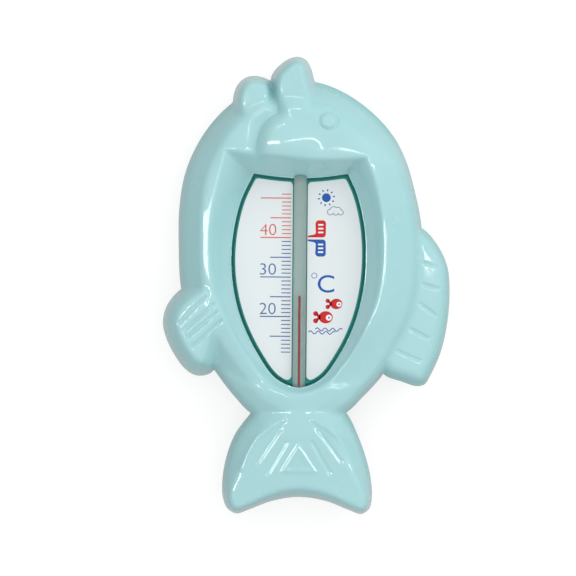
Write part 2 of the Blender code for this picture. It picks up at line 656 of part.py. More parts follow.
rear_rows = []
for reach in (0.9, 2.4, 4.4, 6.5):
    for line in CURVES.values():
        row = offset(line, -reach)
        rear_rows.append(row[np.abs(fish_depth(row) - reach) < 0.12 * reach + 0.05])
rear_points = thinned(fish, np.concatenate(rear_rows), 1.5)
seams = hexagon_grid(REAR_STEP)
seams = seams[np.abs(rear_relief(seams) / REAR_DEPTH - 0.45) < 0.39]
rear_points = np.concatenate([rear_points, thinned(np.concatenate([fish, rear_points]), seams, 1.7)])
floor_rows = [offset(line, -reach) for line in CURVES.values() for reach in (1.9 * WALL, 3.3 * WALL)]
floor_rows = [row[np.abs(fish_depth(row) - reach) < 0.5] for row, reach in
              zip(floor_rows, (1.9 * WALL, 3.3 * WALL) * len(CURVES))]
floor_points = thinned(hollow, np.concatenate(floor_rows), 2.2)
seams = hexagon_grid(UNDER_STEP)
seams = seams[np.abs(rear_relief(seams) / REAR_DEPTH - 0.45) < 0.39]
known = np.concatenate([hollow, floor_points])
floor_points = np.concatenate([floor_points, thinned(known, seams, 0.52 * UNDER_STEP)])
rear = shell("rear_shell", fish, hollow, rear_points, floor_points, rear_face, rear_under,
             REAR_DEPTH - GAP / 2)

# Scale carrier: a flange under the window edge and a raised field that fills the window.
carrier = plate("scale_carrier", offset(WINDOW_LINE, FLANGE_REACH), FLANGE_TOP - FLANGE_THICKNESS, FLANGE_TOP)
field = plate("carrier field", offset(WINDOW_LINE, -CARRIER_SEAM),
              FLANGE_TOP - FLANGE_THICKNESS / 2, CARD_TOP - CARD_THICKNESS - GAP)
combine(carrier, [field], "UNION")
groove = turned("tube groove", [(0, -CUTTER_REACH), (TUBE_RADIUS + GAP, -CUTTER_REACH),
                                (TUBE_RADIUS + GAP, CUTTER_REACH), (0, CUTTER_REACH)])
combine(carrier, [groove], "DIFFERENCE")
cards = [plate(name, card_line(side), CARD_TOP - CARD_THICKNESS, CARD_TOP)
         for name, side in (("scale_card_left", -1), ("scale_card_right", 1))]

# Glass tube with its bulb, open at the tip, and the spirit inside it.
bulb_end = BULB_SHOULDER_Y - BULB_LENGTH
cap = [(BULB_RADIUS * math.sin(a), bulb_end + BULB_RADIUS * (1 - math.cos(a)))
       for a in (math.radians(d) for d in (0, 22.5, 45, 67.5, 90))]
inner_radius = BULB_RADIUS - GLASS_WALL
inner_cap = [(inner_radius * math.sin(a), bulb_end + GLASS_WALL + inner_radius * (1 - math.cos(a)))
             for a in (math.radians(d) for d in (90, 60, 30, 0))]
tube = turned("glass_tube", cap + [
    (BULB_RADIUS, BULB_SHOULDER_Y - 1.2), (TUBE_RADIUS, BULB_SHOULDER_Y), (TUBE_RADIUS, TUBE_TOP_Y - 0.4),
    (TUBE_RADIUS - 0.4, TUBE_TOP_Y), (BORE_RADIUS, TUBE_TOP_Y), (BORE_RADIUS, BULB_SHOULDER_Y - 0.6),
    (inner_radius, BULB_SHOULDER_Y - 2.6)] + inner_cap)
fill = inner_radius - GAP
fill_cap = [(fill * math.sin(a), bulb_end + GLASS_WALL + GAP + fill * (1 - math.cos(a)))
            for a in (math.radians(d) for d in (0, 30, 60, 90))]
spirit = turned("spirit_column", fill_cap + [
    (fill, BULB_SHOULDER_Y - 2.6 - GAP), (SPIRIT_RADIUS, BULB_SHOULDER_Y - 0.6 - GAP),
    (SPIRIT_RADIUS, SPIRIT_TOP_Y - 0.2), (SPIRIT_RADIUS * 0.6, SPIRIT_TOP_Y), (0, SPIRIT_TOP_Y)], segments=12)

# The tube runs under the front shell at both ends of the window.
notch_end = TUBE_TOP_Y + WALL
notch_radius = TUBE_RADIUS + GAP + 0.05
notch = turned("tube notch", [(0, bulb_end - GAP), (BULB_RADIUS + GAP, bulb_end - GAP),
                              (BULB_RADIUS + GAP, BULB_SHOULDER_Y - GAP), (notch_radius, BULB_SHOULDER_Y + WALL),
                              (notch_radius, notch_end), (0, notch_end)])
combine(front, [notch], "DIFFERENCE")
pins = []
for x, y in drawn(PINS):
    ceiling = float(front_under(np.array([[x, y]]))[0])
    pins.append(column("pin", PIN_RADIUS, REAR_DEPTH - PIN_REACH, ceiling + 0.9, x, y))
combine(front, pins, "UNION")

# Inside the rear shell: sockets for the pins, posts for the carrier and ribs for the tube.
supports = []
for x, y in drawn(PINS):
    floor = float(rear_under(np.array([[x, y]]))[0])
    supports.append(column("socket", PIN_RADIUS + GAP + SOCKET_WALL, floor - 1, REAR_DEPTH - GAP, x, y))
for x, y in drawn(POSTS):
    supports.append(column("post", POST_RADIUS, 1, FLANGE_TOP - FLANGE_THICKNESS - GAP, x, y))
window_top = WINDOW_LINE[:, 1].max() + FLANGE_REACH + GAP
for y in (window_top + 0.4, BULB_SHOULDER_Y + 0.6, bulb_end - GAP - RIB_THICKNESS):
    floor = float(rear_under(np.array([[0.0, y]]))[0])
    supports.append(block("rib", (-5, y, floor - 1), (5, y + RIB_THICKNESS, TUBE_AXIS_Z - 0.6)))
combine(rear, supports, "UNION")
bores = [column("bore", PIN_RADIUS + GAP, REAR_DEPTH - PIN_REACH - GAP, REAR_DEPTH + 1, x, y)
         for x, y in drawn(PINS)]
seat = turned("seat", [(0, bulb_end - GAP), (TUBE_RADIUS + GAP, bulb_end - GAP),
                       (TUBE_RADIUS + GAP, CUTTER_REACH), (0, CUTTER_REACH)])
vents = [block("vent", (-VENT_SIZE[0] / 2, y * SCALE - VENT_SIZE[1] / 2, -1),
               (VENT_SIZE[0] / 2, y * SCALE + VENT_SIZE[1] / 2, 9)) for y in VENT_Y]
combine(rear, bores + [seat] + vents, "DIFFERENCE")

AQUA = (0.42, 0.70, 0.72)
paint(front, AQUA, 0.25)
paint(rear, AQUA, 0.3)
paint(carrier, (0.24, 0.52, 0.52), 0.35)
for card in cards:
    paint(card, (0.80, 0.84, 0.86), 0.5)
paint(tube, (0.55, 0.68, 0.64), 0.05)
paint(spirit, (0.65, 0.05, 0.07), 0.2)
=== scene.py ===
# %% [markdown]
# # A fish-shaped bath thermometer
# The imported model is the fixed frame of this scene: everything below is built round it, in the same
# place and at the same size.

import math

import bmesh
import bpy
import numpy as np
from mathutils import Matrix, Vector
from mathutils.geometry import delaunay_2d_cdt


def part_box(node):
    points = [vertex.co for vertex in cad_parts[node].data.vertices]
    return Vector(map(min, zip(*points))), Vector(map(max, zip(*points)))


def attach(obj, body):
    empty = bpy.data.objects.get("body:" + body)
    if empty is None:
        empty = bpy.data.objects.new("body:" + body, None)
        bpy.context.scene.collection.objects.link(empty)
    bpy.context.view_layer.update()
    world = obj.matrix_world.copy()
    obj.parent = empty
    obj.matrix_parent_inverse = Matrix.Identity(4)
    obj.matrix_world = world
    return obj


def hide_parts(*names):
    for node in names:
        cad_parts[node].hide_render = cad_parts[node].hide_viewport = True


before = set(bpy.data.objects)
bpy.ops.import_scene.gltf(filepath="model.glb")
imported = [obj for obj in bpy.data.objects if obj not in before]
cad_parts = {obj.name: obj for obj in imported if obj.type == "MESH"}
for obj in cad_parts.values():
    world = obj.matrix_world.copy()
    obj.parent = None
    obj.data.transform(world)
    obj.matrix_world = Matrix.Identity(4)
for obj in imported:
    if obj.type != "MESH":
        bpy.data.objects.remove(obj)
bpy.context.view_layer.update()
MM = 0.001
for name in ("Cube", "Light", "Camera"):
    if name in bpy.data.objects:
        bpy.data.objects.remove(bpy.data.objects[name], do_unlink=True)
print("frame nodes:", sorted(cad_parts))

# %% [markdown]
# ## The fish's outlines
# A modeller starts such a shell from a few outlines drawn over a front view: body, tail, fins and
# lips. Each is a handful of points, and a smooth curve runs through them. Curves keep the drawing
# short and let the mesh be as fine as it needs to be. A third value of 1 marks a corner.

# %% Outlines in millimetres
BODY = [(-15.0, -43.6), (-21.2, -37.6), (-27.3, -29.8), (-33.2, -21.0), (-37.2, -11.0), (-39.3, 0.0),
        (-39.9, 12.0), (-39.8, 24.0), (-38.0, 35.5), (-33.9, 45.4), (-27.4, 54.5), (-19.4, 61.2),
        (-8.0, 65.8), (4.6, 66.0), (14.0, 62.7), (23.4, 56.2), (30.7, 48.1), (35.0, 39.6), (37.6, 30.6),
        (39.5, 22.0), (40.5, 12.0), (40.2, 0.0), (38.2, -10.0), (34.0, -19.5), (27.4, -30.4),
        (21.0, -37.6), (15.3, -43.0), (0.0, -49.0)]
TAIL = [(-13.5, -41.0), (-16.9, -44.6), (-20.9, -50.2), (-23.5, -57.0), (-24.8, -64.0), (-24.8, -70.2),
        (-23.3, -74.4), (-20.2, -76.2), (-16.4, -75.0), (-8.6, -72.0), (0.0, -70.6), (9.0, -71.8),
        (16.9, -74.8), (20.9, -76.1), (23.6, -74.2), (24.4, -70.0), (23.7, -63.0), (22.0, -56.5),
        (19.2, -49.2), (16.6, -44.0), (13.6, -40.4), (0.0, -35.5)]
BELLY_FIN = [(-37.6, -1.4), (-41.3, -4.6), (-44.0, -8.8), (-44.9, -13.6), (-43.9, -18.2), (-41.3, -23.6),
             (-38.0, -28.2), (-34.6, -30.6), (-31.0, -30.8), (-27.9, -29.0), (-25.4, -22.0),
             (-23.5, -12.0), (-28.0, 0.6), (-32.5, 1.2)]
BACK_FIN = [(36.0, 19.5), (40.6, 17.9), (45.6, 12.2), (48.6, 5.6), (49.4, -3.0), (48.6, -13.6),
            (46.6, -22.6), (43.2, -30.4), (41.4, -33.2), (38.8, -33.8), (34.0, -32.4), (27.6, -29.6),
            (26.0, -20.0), (33.0, 0.0)]
UPPER_LIP = [(-10.2, 63.5), (-9.6, 68.4), (-6.4, 72.1), (-3.4, 73.9), (-0.9, 74.3), (1.4, 73.4),
             (3.0, 71.0), (4.2, 66.8), (5.4, 60.0), (2.5, 51.5), (-4.0, 50.5), (-8.6, 56.0)]
LOWER_LIP = [(-22.0, 55.0), (-22.3, 61.0), (-20.9, 65.0), (-18.3, 67.3), (-15.3, 67.9), (-12.3, 67.3),
             (-9.5, 65.6), (-8.2, 60.0), (-10.0, 53.5), (-16.0, 50.0)]
WINDOW = [(-15.3, 35.6, 1), (-7.5, 34.6), (0.0, 34.2), (7.5, 34.6), (15.6, 35.7, 1), (18.6, 29.0),
          (20.9, 19.5), (21.7, 9.5), (20.9, -2.0), (18.0, -13.6), (13.0, -24.0), (7.2, -31.6),
          (0.0, -34.4), (-7.4, -31.6), (-13.6, -23.4), (-18.9, -12.6), (-21.7, -2.0), (-22.5, 8.0),
          (-21.6, 18.0), (-19.2, 27.4)]
RIM = [(-25.2, 43.4, 1), (-14.0, 41.9), (0.0, 40.6), (11.0, 40.2), (21.9, 41.1, 1), (25.0, 31.0),
       (27.1, 19.0), (27.2, 7.0), (25.4, -5.0), (21.0, -16.2), (14.6, -26.9), (8.1, -33.8), (0.0, -36.5),
       (-8.4, -34.2), (-15.6, -27.1), (-22.7, -14.9), (-28.0, -3.0), (-29.6, 8.0), (-29.3, 20.0),
       (-27.2, 31.0)]
MOUTH = [(-10.4, 66.4), (-8.9, 62.6), (-7.7, 58.6), (-7.3, 55.6), (-10.2, 53.6), (-12.7, 50.6),
         (-14.0, 47.0), (-14.5, 43.0), (-14.6, 38.0)]
BELLY_GROOVES = [((-39.2, -13.7), (-30.8, -4.7)), ((-37.6, -16.0), (-27.9, -7.4)),
                 ((-36.4, -18.0), (-26.9, -10.0)), ((-34.8, -21.1), (-25.6, -12.8))]
BACK_RIBS = [((40.8, 6.7), (45.6, 5.4)), ((40.6, -0.3), (46.0, -1.7)), ((39.6, -6.6), (44.8, -10.4)),
             ((36.4, -14.8), (42.3, -17.9)), ((32.0, -22.0), (39.5, -25.3))]
TAIL_RAYS = [((-6.0, -47.9), (-13.1, -58.5)), ((-4.1, -52.4), (-9.8, -62.2)), ((4.7, -52.4), (10.3, -62.0)),
             ((6.6, -48.5), (14.0, -58.3))]
TAIL_SWEEP = [(-4.7, -44.7), (-8.8, -47.2), (-13.7, -50.8), (-16.9, -56.3), (-18.6, -61.0)]
TAIL_TRIANGLE = [(0.0, -53.1), (-5.6, -62.0), (6.0, -62.0)]
UPPER_SPINE = [(-1.6, 67.5), (-0.6, 56.0)]
LOWER_SPINE = [(-15.6, 62.0), (-13.0, 54.0)]
EYE = (8.9, 52.8)
CHEEK = (-5.6, 46.2)
CHEEK_RADIUS = 9.3
print("outline points:", sum(map(len, (BODY, TAIL, BELLY_FIN, BACK_FIN, UPPER_LIP, LOWER_LIP))))


# %% [markdown]
# ## A smooth curve through the points
# Blender's curves could draw this too, but the relief below has to know each outline's distance, so
# the curve is worked out as plain points. The centripetal form of the Catmull-Rom curve passes
# through every point and never makes a loop where two of them are close.

# %% Spline
def spline(points, spacing, closed=True):
    """Smooth line through the drawn points, with about the given spacing."""
    xy = np.array([p[:2] for p in points], float)
    corner = [len(p) > 2 for p in points]
    count = len(xy)
    line = []
    for i in range(count if closed else count - 1):
        j = (i + 1) % count
        p1, p2 = xy[i], xy[j]
        before = corner[i] or (not closed and i == 0)
        after = corner[j] or (not closed and j == count - 1)
        p0 = 2 * p1 - p2 if before else xy[i - 1]
        p3 = 2 * p2 - p1 if after else xy[(i + 2) % count]
        d0, d1, d2 = [math.sqrt(np.hypot(*(b - a))) for a, b in ((p0, p1), (p1, p2), (p2, p3))]
        m1 = ((p1 - p0) / d0 - (p2 - p0) / (d0 + d1) + (p2 - p1) / d1) * d1
        m2 = ((p2 - p1) / d1 - (p3 - p1) / (d1 + d2) + (p3 - p2) / d2) * d1
        steps = max(1, round(np.hypot(*(p2 - p1)) / spacing))
        for k in range(steps):
            t = k / steps
            line.append((2 * t**3 - 3 * t**2 + 1) * p1 + (t**3 - 2 * t**2 + t) * m1
                        + (3 * t**2 - 2 * t**3) * p2 + (t**3 - t**2) * m2)
    if not closed:
        line.append(xy[-1])
    return np.array(line)


LINE_STEP = 0.9
DRAWN = {"body": BODY, "tail": TAIL, "belly_fin": BELLY_FIN, "back_fin": BACK_FIN,
         "upper_lip": UPPER_LIP, "lower_lip": LOWER_LIP}
CURVES = {name: spline(points, LINE_STEP) for name, points in DRAWN.items()}
WINDOW_LINE = spline(WINDOW, LINE_STEP)
RIM_LINE = spline(RIM, LINE_STEP)
MOUTH_LINE = spline(MOUTH, LINE_STEP, closed=False)
print("points on the body's line:", len(CURVES["body"]))


# %% [markdown]
# ## Distances
# A moulded toy is mostly soft slopes that follow its edges. So the height of each form is written
# as a function of how far a point lies inside an outline. These helpers measure that for all
# points of the mesh at once.

# %% Distance helpers
def nearest(p, line, closed=True):
    """Distance of the points to a line, and whether they lie on its left."""
    a = line if closed else line[:-1]
    b = np.roll(line, -1, 0) if closed else line[1:]
    best = np.full(len(p), 1e9)
    left = np.zeros(len(p), bool)
    for u, v in zip(a, b):
        w = v - u
        t = np.clip(((p - u) @ w) / max(w @ w, 1e-12), 0, 1)
        q = p - u - t[:, None] * w
        d = (q * q).sum(1)
        closer = d < best
        best = np.where(closer, d, best)
        left = np.where(closer, w[0] * q[:, 1] - w[1] * q[:, 0] > 0, left)
    return np.sqrt(best), left


def inside(p, line):
    """Even-odd test against a closed line."""
    odd = np.zeros(len(p), bool)
    for (x1, y1), (x2, y2) in zip(line, np.roll(line, -1, 0)):
        if y1 != y2:
            crossing = x1 + (x2 - x1) * (p[:, 1] - y1) / (y2 - y1)
            odd ^= ((y1 > p[:, 1]) != (y2 > p[:, 1])) & (p[:, 0] < crossing)
    return odd


def depth(p, line):
    """Distance inside a closed line, negative outside it."""
    d = nearest(p, line)[0]
    return np.where(inside(p, line), d, -d)


def to_line(p, ends):
    """Distance to a short line."""
    return nearest(p, np.array(ends, float), closed=False)[0]


def fish_depth(p):
    """Distance inside the whole fish."""
    return np.max([depth(p, line) for line in CURVES.values()], 0)


print("the origin lies", round(float(depth(np.zeros((1, 2)), WINDOW_LINE)[0]), 1), "mm inside the window")


# %% [markdown]
# ## Soft forms
# Three small shapes make every swell and groove: a smooth step, a pillow that rises from an
# outline, and a trough beside a line. Two heights are joined with a fillet, as a toolmaker's
# cutter would leave it in the mould.

# %% Form helpers
def step(x, low, high):
    t = np.clip((x - low) / (high - low), 0, 1)
    return t * t * (3 - 2 * t)


def fillet(a, b, k):
    """The higher of two surfaces with a fillet of about k between them."""
    h = np.clip(0.5 + 0.5 * (b - a) / k, 0, 1)
    return a + (b - a) * h + k * h * (1 - h)


def mesa(d, lip, lip_width, top, width):
    """Round lip along an outline, then a straight flank up to a flat top."""
    round_lip = lip * (1 - (1 - np.clip(d / lip_width, 0, 1)) ** 2)
    return np.where(d > 0, round_lip + (top - lip) * np.clip(d / width, 0, 1), 3 * d)


def pillow(d, height, width, power):
    t = np.clip(d / width, 0, 1)
    return np.where(d > 0, height * (1 - (1 - t) ** power), 3 * d)


def trough(d, half_width):
    return step(1 - d / half_width, 0, 1)


# %% [markdown]
# ## The body and the head
# The front shell is one moulding, so it is one height field over the sheet. The body comes first:
# its flanks rise to a crest all round the window, steep on the belly's side and broad on the
# back's. The head stands a little higher, and the cheek is a low dome beside the mouth. Smooth
# steps blend these forms, because a polished mould has no hard line between them.

# %% Body
PARTING = 10.0
GAP = 0.3
EDGE = 1.5
WALL = 2.0
CREST = 12.0
CREST_FALL = 3.6
CREST_TILT = 0.2
HEAD_LIFT = 1.6
CREASE_DEPTH = 0.9
CHEEK_HEIGHT = 1.8


def beside_mouth(p):
    """Distance to the mouth's line, positive on the cheek's side."""
    away, left = nearest(p, MOUTH_LINE, closed=False)
    return np.where(left, away, -away)


def body_form(p):
    """Body and head: steep on the belly's side, broad on the back's."""
    x, y = p[:, 0], p[:, 1]
    inner = depth(p, CURVES["body"])
    back = step(x, -22, 18)
    crest = CREST - CREST_FALL * step(-y, 8, 38)
    flank = mesa(inner, 4.0 + 3.5 * back, 2.2 + 1.2 * back, crest, 7.4 + 4.6 * back)
    dome = pillow(inner, CREST, 8.0 + 8.0 * back, 1.7 + 1.1 * back)
    body = flank + (dome - flank) * step(y, 38, 52)
    left_crest = step(-x, 12, 20) * step(-y, -50, -42) * step(y, -12, 2)
    body = body + CREST_TILT * np.clip(inner - 7.2, 0, 3.4) * left_crest
    signed = beside_mouth(p)
    swell = step(y, 18, 46) * step(signed, -0.6, 3.4)
    body = body + np.where(inner > 0, HEAD_LIFT * swell * np.clip(inner / 10, 0, 1) ** 0.7, 0)
    crease = trough(np.abs(signed + 0.9), 2.6) * step(y, 38, 47)
    body = body - CREASE_DEPTH * crease * np.clip(inner / 6, 0, 1)
    fade = step(x, CHEEK[0] - 3, CHEEK[0] + 9)
    r = np.hypot((x - CHEEK[0]) / (1 + 0.35 * fade), y - CHEEK[1]) / CHEEK_RADIUS
    return body + CHEEK_HEIGHT * np.clip(1 - r**2, 0, 1) ** (0.8 + 1.2 * fade)


print("the crest stands", PARTING + EDGE + CREST, "mm above the back")


# %% [markdown]
# ## Lips, fins and tail
# Each of these is a form of its own that meets the body in a fillet: two domed lips, a belly fin
# high enough to lap over the window's rim, a low back fin, and the tail. The tail is drawn on
# under the body as far as the neck, so that the two flow into each other there.

# %% Lips, fins and tail
LIP_FILLET = 2.6
LIP_DOME = 0.009
LIPS = (("upper_lip", UPPER_SPINE, 12.0), ("lower_lip", LOWER_SPINE, 11.0))
# Each fin has a round lip (height, width), a flank (top, width) and a fillet to the body.
FINS = (("belly_fin", 5.0, 1.8, 13.0, 4.6, 0.6), ("back_fin", 3.4, 1.6, 6.4, 3.4, 0.5))
TAIL_HEIGHT = 9.2
TAIL_LIP = (4.0, 2.0)
NECK_START = -28.0
NECK_FALL = 0.9
NECK_FILLET = 1.9


def lobe(p, line, spine, height):
    """Domed form: steep at its outline and highest along its spine."""
    dome = height - LIP_DOME * to_line(p, spine) ** 2
    return -fillet(-pillow(depth(p, line), height + 1, 4.2, 2.0), -dome, 0.5)


def tail_form(p):
    """Tail and neck, with a flank that is steep at the tail's end and gentle at the neck."""
    y = p[:, 1]
    flank = 1.5 + 4.8 * step(y, -75, -56)
    inner = depth(p, CURVES["tail"])
    under = np.minimum(np.maximum(inner, depth(p, CURVES["body"])), NECK_START - y)
    height = TAIL_HEIGHT - NECK_FALL * step(y, -50, -38)
    return mesa(np.maximum(inner, under), TAIL_LIP[0], np.minimum(flank, TAIL_LIP[1]), height, flank)


def main_forms(p):
    """Body, lips, fins and tail, each joined to the next with a fillet."""
    z = body_form(p)
    for name, spine, height in LIPS:
        z = fillet(z, lobe(p, CURVES[name], spine, height), LIP_FILLET)
    for name, lip, lip_width, top, width, blend in FINS:
        z = fillet(z, mesa(depth(p, CURVES[name]), lip, lip_width, top, width), blend)
    return fillet(z, tail_form(p), NECK_FILLET)


print("belly fin over the crest:", round(FINS[0][3] - CREST, 1), "mm")


# %% [markdown]
# ## Polish, grooves and the eye
# A toolmaker polishes the big forms and then cuts the fine ones. So the heights are first averaged
# over a small disc, which takes the creases out, and the grooves, ribs, rays and the eye's ring
# are cut afterwards, so that they stay crisp.

# %% Fine forms
POLISH = 1.3
LIP_POLISH = 0.6
# Lines, depth and half width of each kind of groove.
CUTS = ((BELLY_GROOVES, 0.40, 0.75), (BACK_RIBS, 0.30, 0.7), (TAIL_RAYS, 0.18, 1.0))
SWEEPS = [TAIL_SWEEP, [(-a, b) for a, b in TAIL_SWEEP]]
SWEEP_HEIGHT = 0.3
EYE_RING = 3.0


def softened(form, p):
    """A form averaged over a disc, a smaller one on the lips."""
    radius = POLISH - (POLISH - LIP_POLISH) * step(p[:, 1:], 54, 62)
    total = 0.4 * form(p)
    for k in range(6):
        angle = math.pi * k / 3
        total = total + 0.1 * form(p + radius * np.array([math.cos(angle), math.sin(angle)]))
    return total


def fine_forms(p, z):
    """Grooves, ribs, tail rays, the mouth's line and the eye."""
    for lines, deep, half_width in CUTS:
        for ends in lines:
            z = z - deep * trough(to_line(p, ends), half_width)
    for ends in SWEEPS:
        z = z + SWEEP_HEIGHT * trough(to_line(p, ends), 1.3)
    edge = depth(p, np.array(TAIL_TRIANGLE))
    z = z + 0.18 * step(edge, -0.5, 0.3) - 0.12 * step(edge, 0.6, 1.3)
    crease = trough(np.abs(beside_mouth(p) + 0.3), 1.0) * step(p[:, 1], 39, 43)
    z = z - 0.55 * crease * step(-p[:, 1], -66, -60)
    ring = np.hypot(p[:, 0] - EYE[0], p[:, 1] - EYE[1])
    return z - 0.45 * trough(np.abs(ring - EYE_RING), 0.75) + 0.3 * step(-ring, -2.6, -1.6)


print("grooves, ribs and rays:", sum(len(lines) for lines, _, _ in CUTS))


# %% [markdown]
# ## The funnel round the window
# The crest turns over into a funnel that falls to the window. Its two upper corners are mitred
# like those of a picture frame. So it is made of two walls, one above the window and one that runs
# round the sides and the foot. Each wall counts from 0 at the window to 1 at the rim, and where
# two walls meet the higher one wins, which leaves the mitre between them.

# %% Funnel
FUNNEL_SPLIT = 33.0
FUNNEL_ROUND = 0.35
FUNNEL_BEND = 1.2
FUNNEL_STEP = 0.4
OVERSHOOT = 1.2
LEFT, RIGHT = 0, 4
LIP_HEIGHT = 4.5
LIP_RISE = 1.4


def on_top(line, drawn):
    """Whether points of a closed line lie on its upper edge, between its two corners."""
    x, y = line[:, 0], line[:, 1]
    return (y > FUNNEL_SPLIT) & (x > drawn[LEFT][0]) & (x < drawn[RIGHT][0])


def top_edge(line, drawn, x):
    """Height on the sheet of a line's upper edge, level beyond its corners."""
    top = line[on_top(line, drawn)]
    top = top[np.argsort(top[:, 0])]
    return np.interp(x, top[:, 0], top[:, 1])


def open_sides(line, drawn):
    """The same line with its sides drawn on past the corners, in place of its upper edge."""
    top = on_top(line, drawn)
    start = int(np.argmax(top))
    ends = []
    for corner, below in ((drawn[LEFT], drawn[LEFT - 1]), (drawn[RIGHT], drawn[RIGHT + 1])):
        corner = np.array(corner[:2])
        ends.append(corner + OVERSHOOT * (corner - np.array(below[:2])))
    return np.vstack([np.roll(line, -start, 0)[~np.roll(top, -start)], *ends])


WINDOW_SIDES = open_sides(WINDOW_LINE, WINDOW)
RIM_SIDES = open_sides(RIM_LINE, RIM)


def share_of(out, rise):
    """How far up one wall of the funnel a point lies, from 0 at the window to 1 at the rim."""
    out = np.clip(out - FUNNEL_STEP, 0, None)
    rise = 0.5 * (rise + np.sqrt(rise**2 + FUNNEL_ROUND))
    return out / np.maximum(out + rise, 1e-6)


def front_relief(p):
    """Height of the fish's front above the upright band."""
    z = fine_forms(p, softened(main_forms, p))
    x, y = p[:, 0], p[:, 1]
    upper = share_of(y - top_edge(WINDOW_LINE, WINDOW, x), top_edge(RIM_LINE, RIM, x) - y)
    sides = share_of(-depth(p, WINDOW_SIDES), depth(p, RIM_SIDES))
    foot = LIP_HEIGHT + LIP_RISE * step(-y, 18, 34)
    return foot + (np.maximum(z, 0) - foot) * (1 - (1 - np.maximum(upper, sides)) ** FUNNEL_BEND)


print("funnel walls:", len(WINDOW_SIDES), "and", len(RIM_SIDES), "points")


# %% [markdown]
# ## The relief of the back
# The rear shell isn't seen in the photograph. Such a part has a plain shallow tray there: flat, so
# that it lies level, with rounded edges, and thinner under the fins and the tail.

# %% Rear relief
# Depth and width of the rounded edge of each outer form.
REAR_FORMS = (("tail", 5.5, 5.0), ("belly_fin", 5.0, 4.5), ("back_fin", 4.0, 4.0),
              ("upper_lip", 5.5, 4.5), ("lower_lip", 5.5, 4.5))


def rear_relief(p):
    """Depth of the fish's back below the upright band."""
    z = pillow(depth(p, CURVES["body"]), PARTING - EDGE, 6.5, 2.2)
    for name, height, width in REAR_FORMS:
        z = fillet(z, pillow(depth(p, CURVES[name]), height, width, 2.0), 1.0)
    return np.clip(z, 0, PARTING - EDGE)


print("the back is", PARTING - EDGE, "mm deep below the band")


# %% [markdown]
# ## Where the mesh needs points
# A plain grid would cut its ridges into steps. So rows of points run beside every edge first, then
# along the rim, the mouth and the grooves, and a grid of triangles fills what is left. A small
# register of cells keeps two points from standing too close to each other.

# %% Rows, grid and register
def offset(line, distance):
    """A closed line moved outwards, or inwards by a negative distance."""
    before = line - np.roll(line, 1, 0)
    after = np.roll(line, -1, 0) - line
    before = before / np.linalg.norm(before, axis=1, keepdims=True)
    after = after / np.linalg.norm(after, axis=1, keepdims=True)
    mitre = before + after
    mitre = mitre / np.linalg.norm(mitre, axis=1, keepdims=True)
    normal = np.stack([mitre[:, 1], -mitre[:, 0]], 1)
    area = (line[:, 0] * np.roll(line[:, 1], -1) - np.roll(line[:, 0], -1) * line[:, 1]).sum()
    stretch = 1 / np.maximum((before * mitre).sum(1), 0.6)
    return line + normal * (math.copysign(distance, area * distance) * stretch)[:, None]


def grid(spacing, low=(-46, -77), high=(50, 75)):
    rows = np.arange(low[1], high[1], spacing * math.sqrt(0.75))
    columns = np.arange(low[0], high[0], spacing)
    return np.array([(x + spacing / 2 * (i % 2), y) for i, y in enumerate(rows) for x in columns])


class Register:
    """Points that keep their distance from each other."""

    def __init__(self, fixed, cell=1.0):
        self.cell = cell
        self.cells = {}
        self.points = []
        for p in fixed:
            self.store(p)

    def store(self, p):
        self.cells.setdefault((int(p[0] // self.cell), int(p[1] // self.cell)), []).append(p)

    def add(self, points, apart):
        """Take in the points that stand further than this from all others."""
        for p in points:
            column, row = int(p[0] // self.cell), int(p[1] // self.cell)
            near = [q for i in (-1, 0, 1) for j in (-1, 0, 1)
                    for q in self.cells.get((column + i, row + j), ())]
            if all((p[0] - q[0]) ** 2 + (p[1] - q[1]) ** 2 > apart**2 for q in near):
                self.store(p)
                self.points.append(p)


def edge_rows(reaches):
    """Rows of points at these distances inside the fish's edge."""
    found = []
    for reach in reaches:
        for line in CURVES.values():
            row = offset(line, -reach)
            found.append(row[np.abs(fish_depth(row) - reach) < 0.1 * reach + 0.05])
    return np.concatenate(found)


print("grid points at 2 mm:", len(grid(2.0)))


# %% [markdown]
# ## From points to a shell
# The points are joined by a constrained Delaunay triangulation, which keeps the outline and the
# window as edges. The same is done for the hollow behind, and walls join the two, so that the
# shell is a closed solid with a real wall, as it would be printed or moulded.

# %% Shell builder
def triangles(points, edges, keep):
    result = delaunay_2d_cdt([tuple(p) for p in points], edges, [], 0, 1e-7)
    xy = np.array([tuple(v) for v in result[0]])
    tri = np.array(result[2])
    return xy, tri[keep(xy[tri].mean(1))]


def loop_edges(count, start=0):
    return [(start + i, start + (i + 1) % count) for i in range(count)]


def union_outline(lines, apart):
    """The outer boundary of several overlapping closed lines."""
    edges = []
    for line in lines:
        edges += loop_edges(len(line), len(edges))
    xy, tri = triangles(np.concatenate(lines), edges,
                        lambda c: np.any([inside(c, line) for line in lines], 0))
    sides = [tuple(t[[k, (k + 1) % 3]]) for t in tri for k in range(3)]
    known = set(sides)
    following = {a: b for a, b in sides if (b, a) not in known}
    loops = []
    while following:
        at = next(iter(following))
        loop = []
        while at in following:
            loop.append(at)
            at = following.pop(at)
        loops.append(loop)
    kept = []
    for p in xy[max(loops, key=len)]:
        if not kept or (np.hypot(*(p - kept[-1])) > apart and np.hypot(*(p - kept[0])) > apart):
            kept.append(p)
    return np.array(kept)


FISH_LINE = union_outline(list(CURVES.values()), 0.35)
HOLLOW_LINE = union_outline([offset(line, -WALL) for line in CURVES.values()], 1.2)
print("outline of the fish:", len(FISH_LINE), "points")


# %% Mesh helpers
WELD = 1e-7


def placed(name, data):
    """New object in the scene."""
    obj = bpy.data.objects.new(name, data)
    bpy.context.scene.collection.objects.link(obj)
    return obj


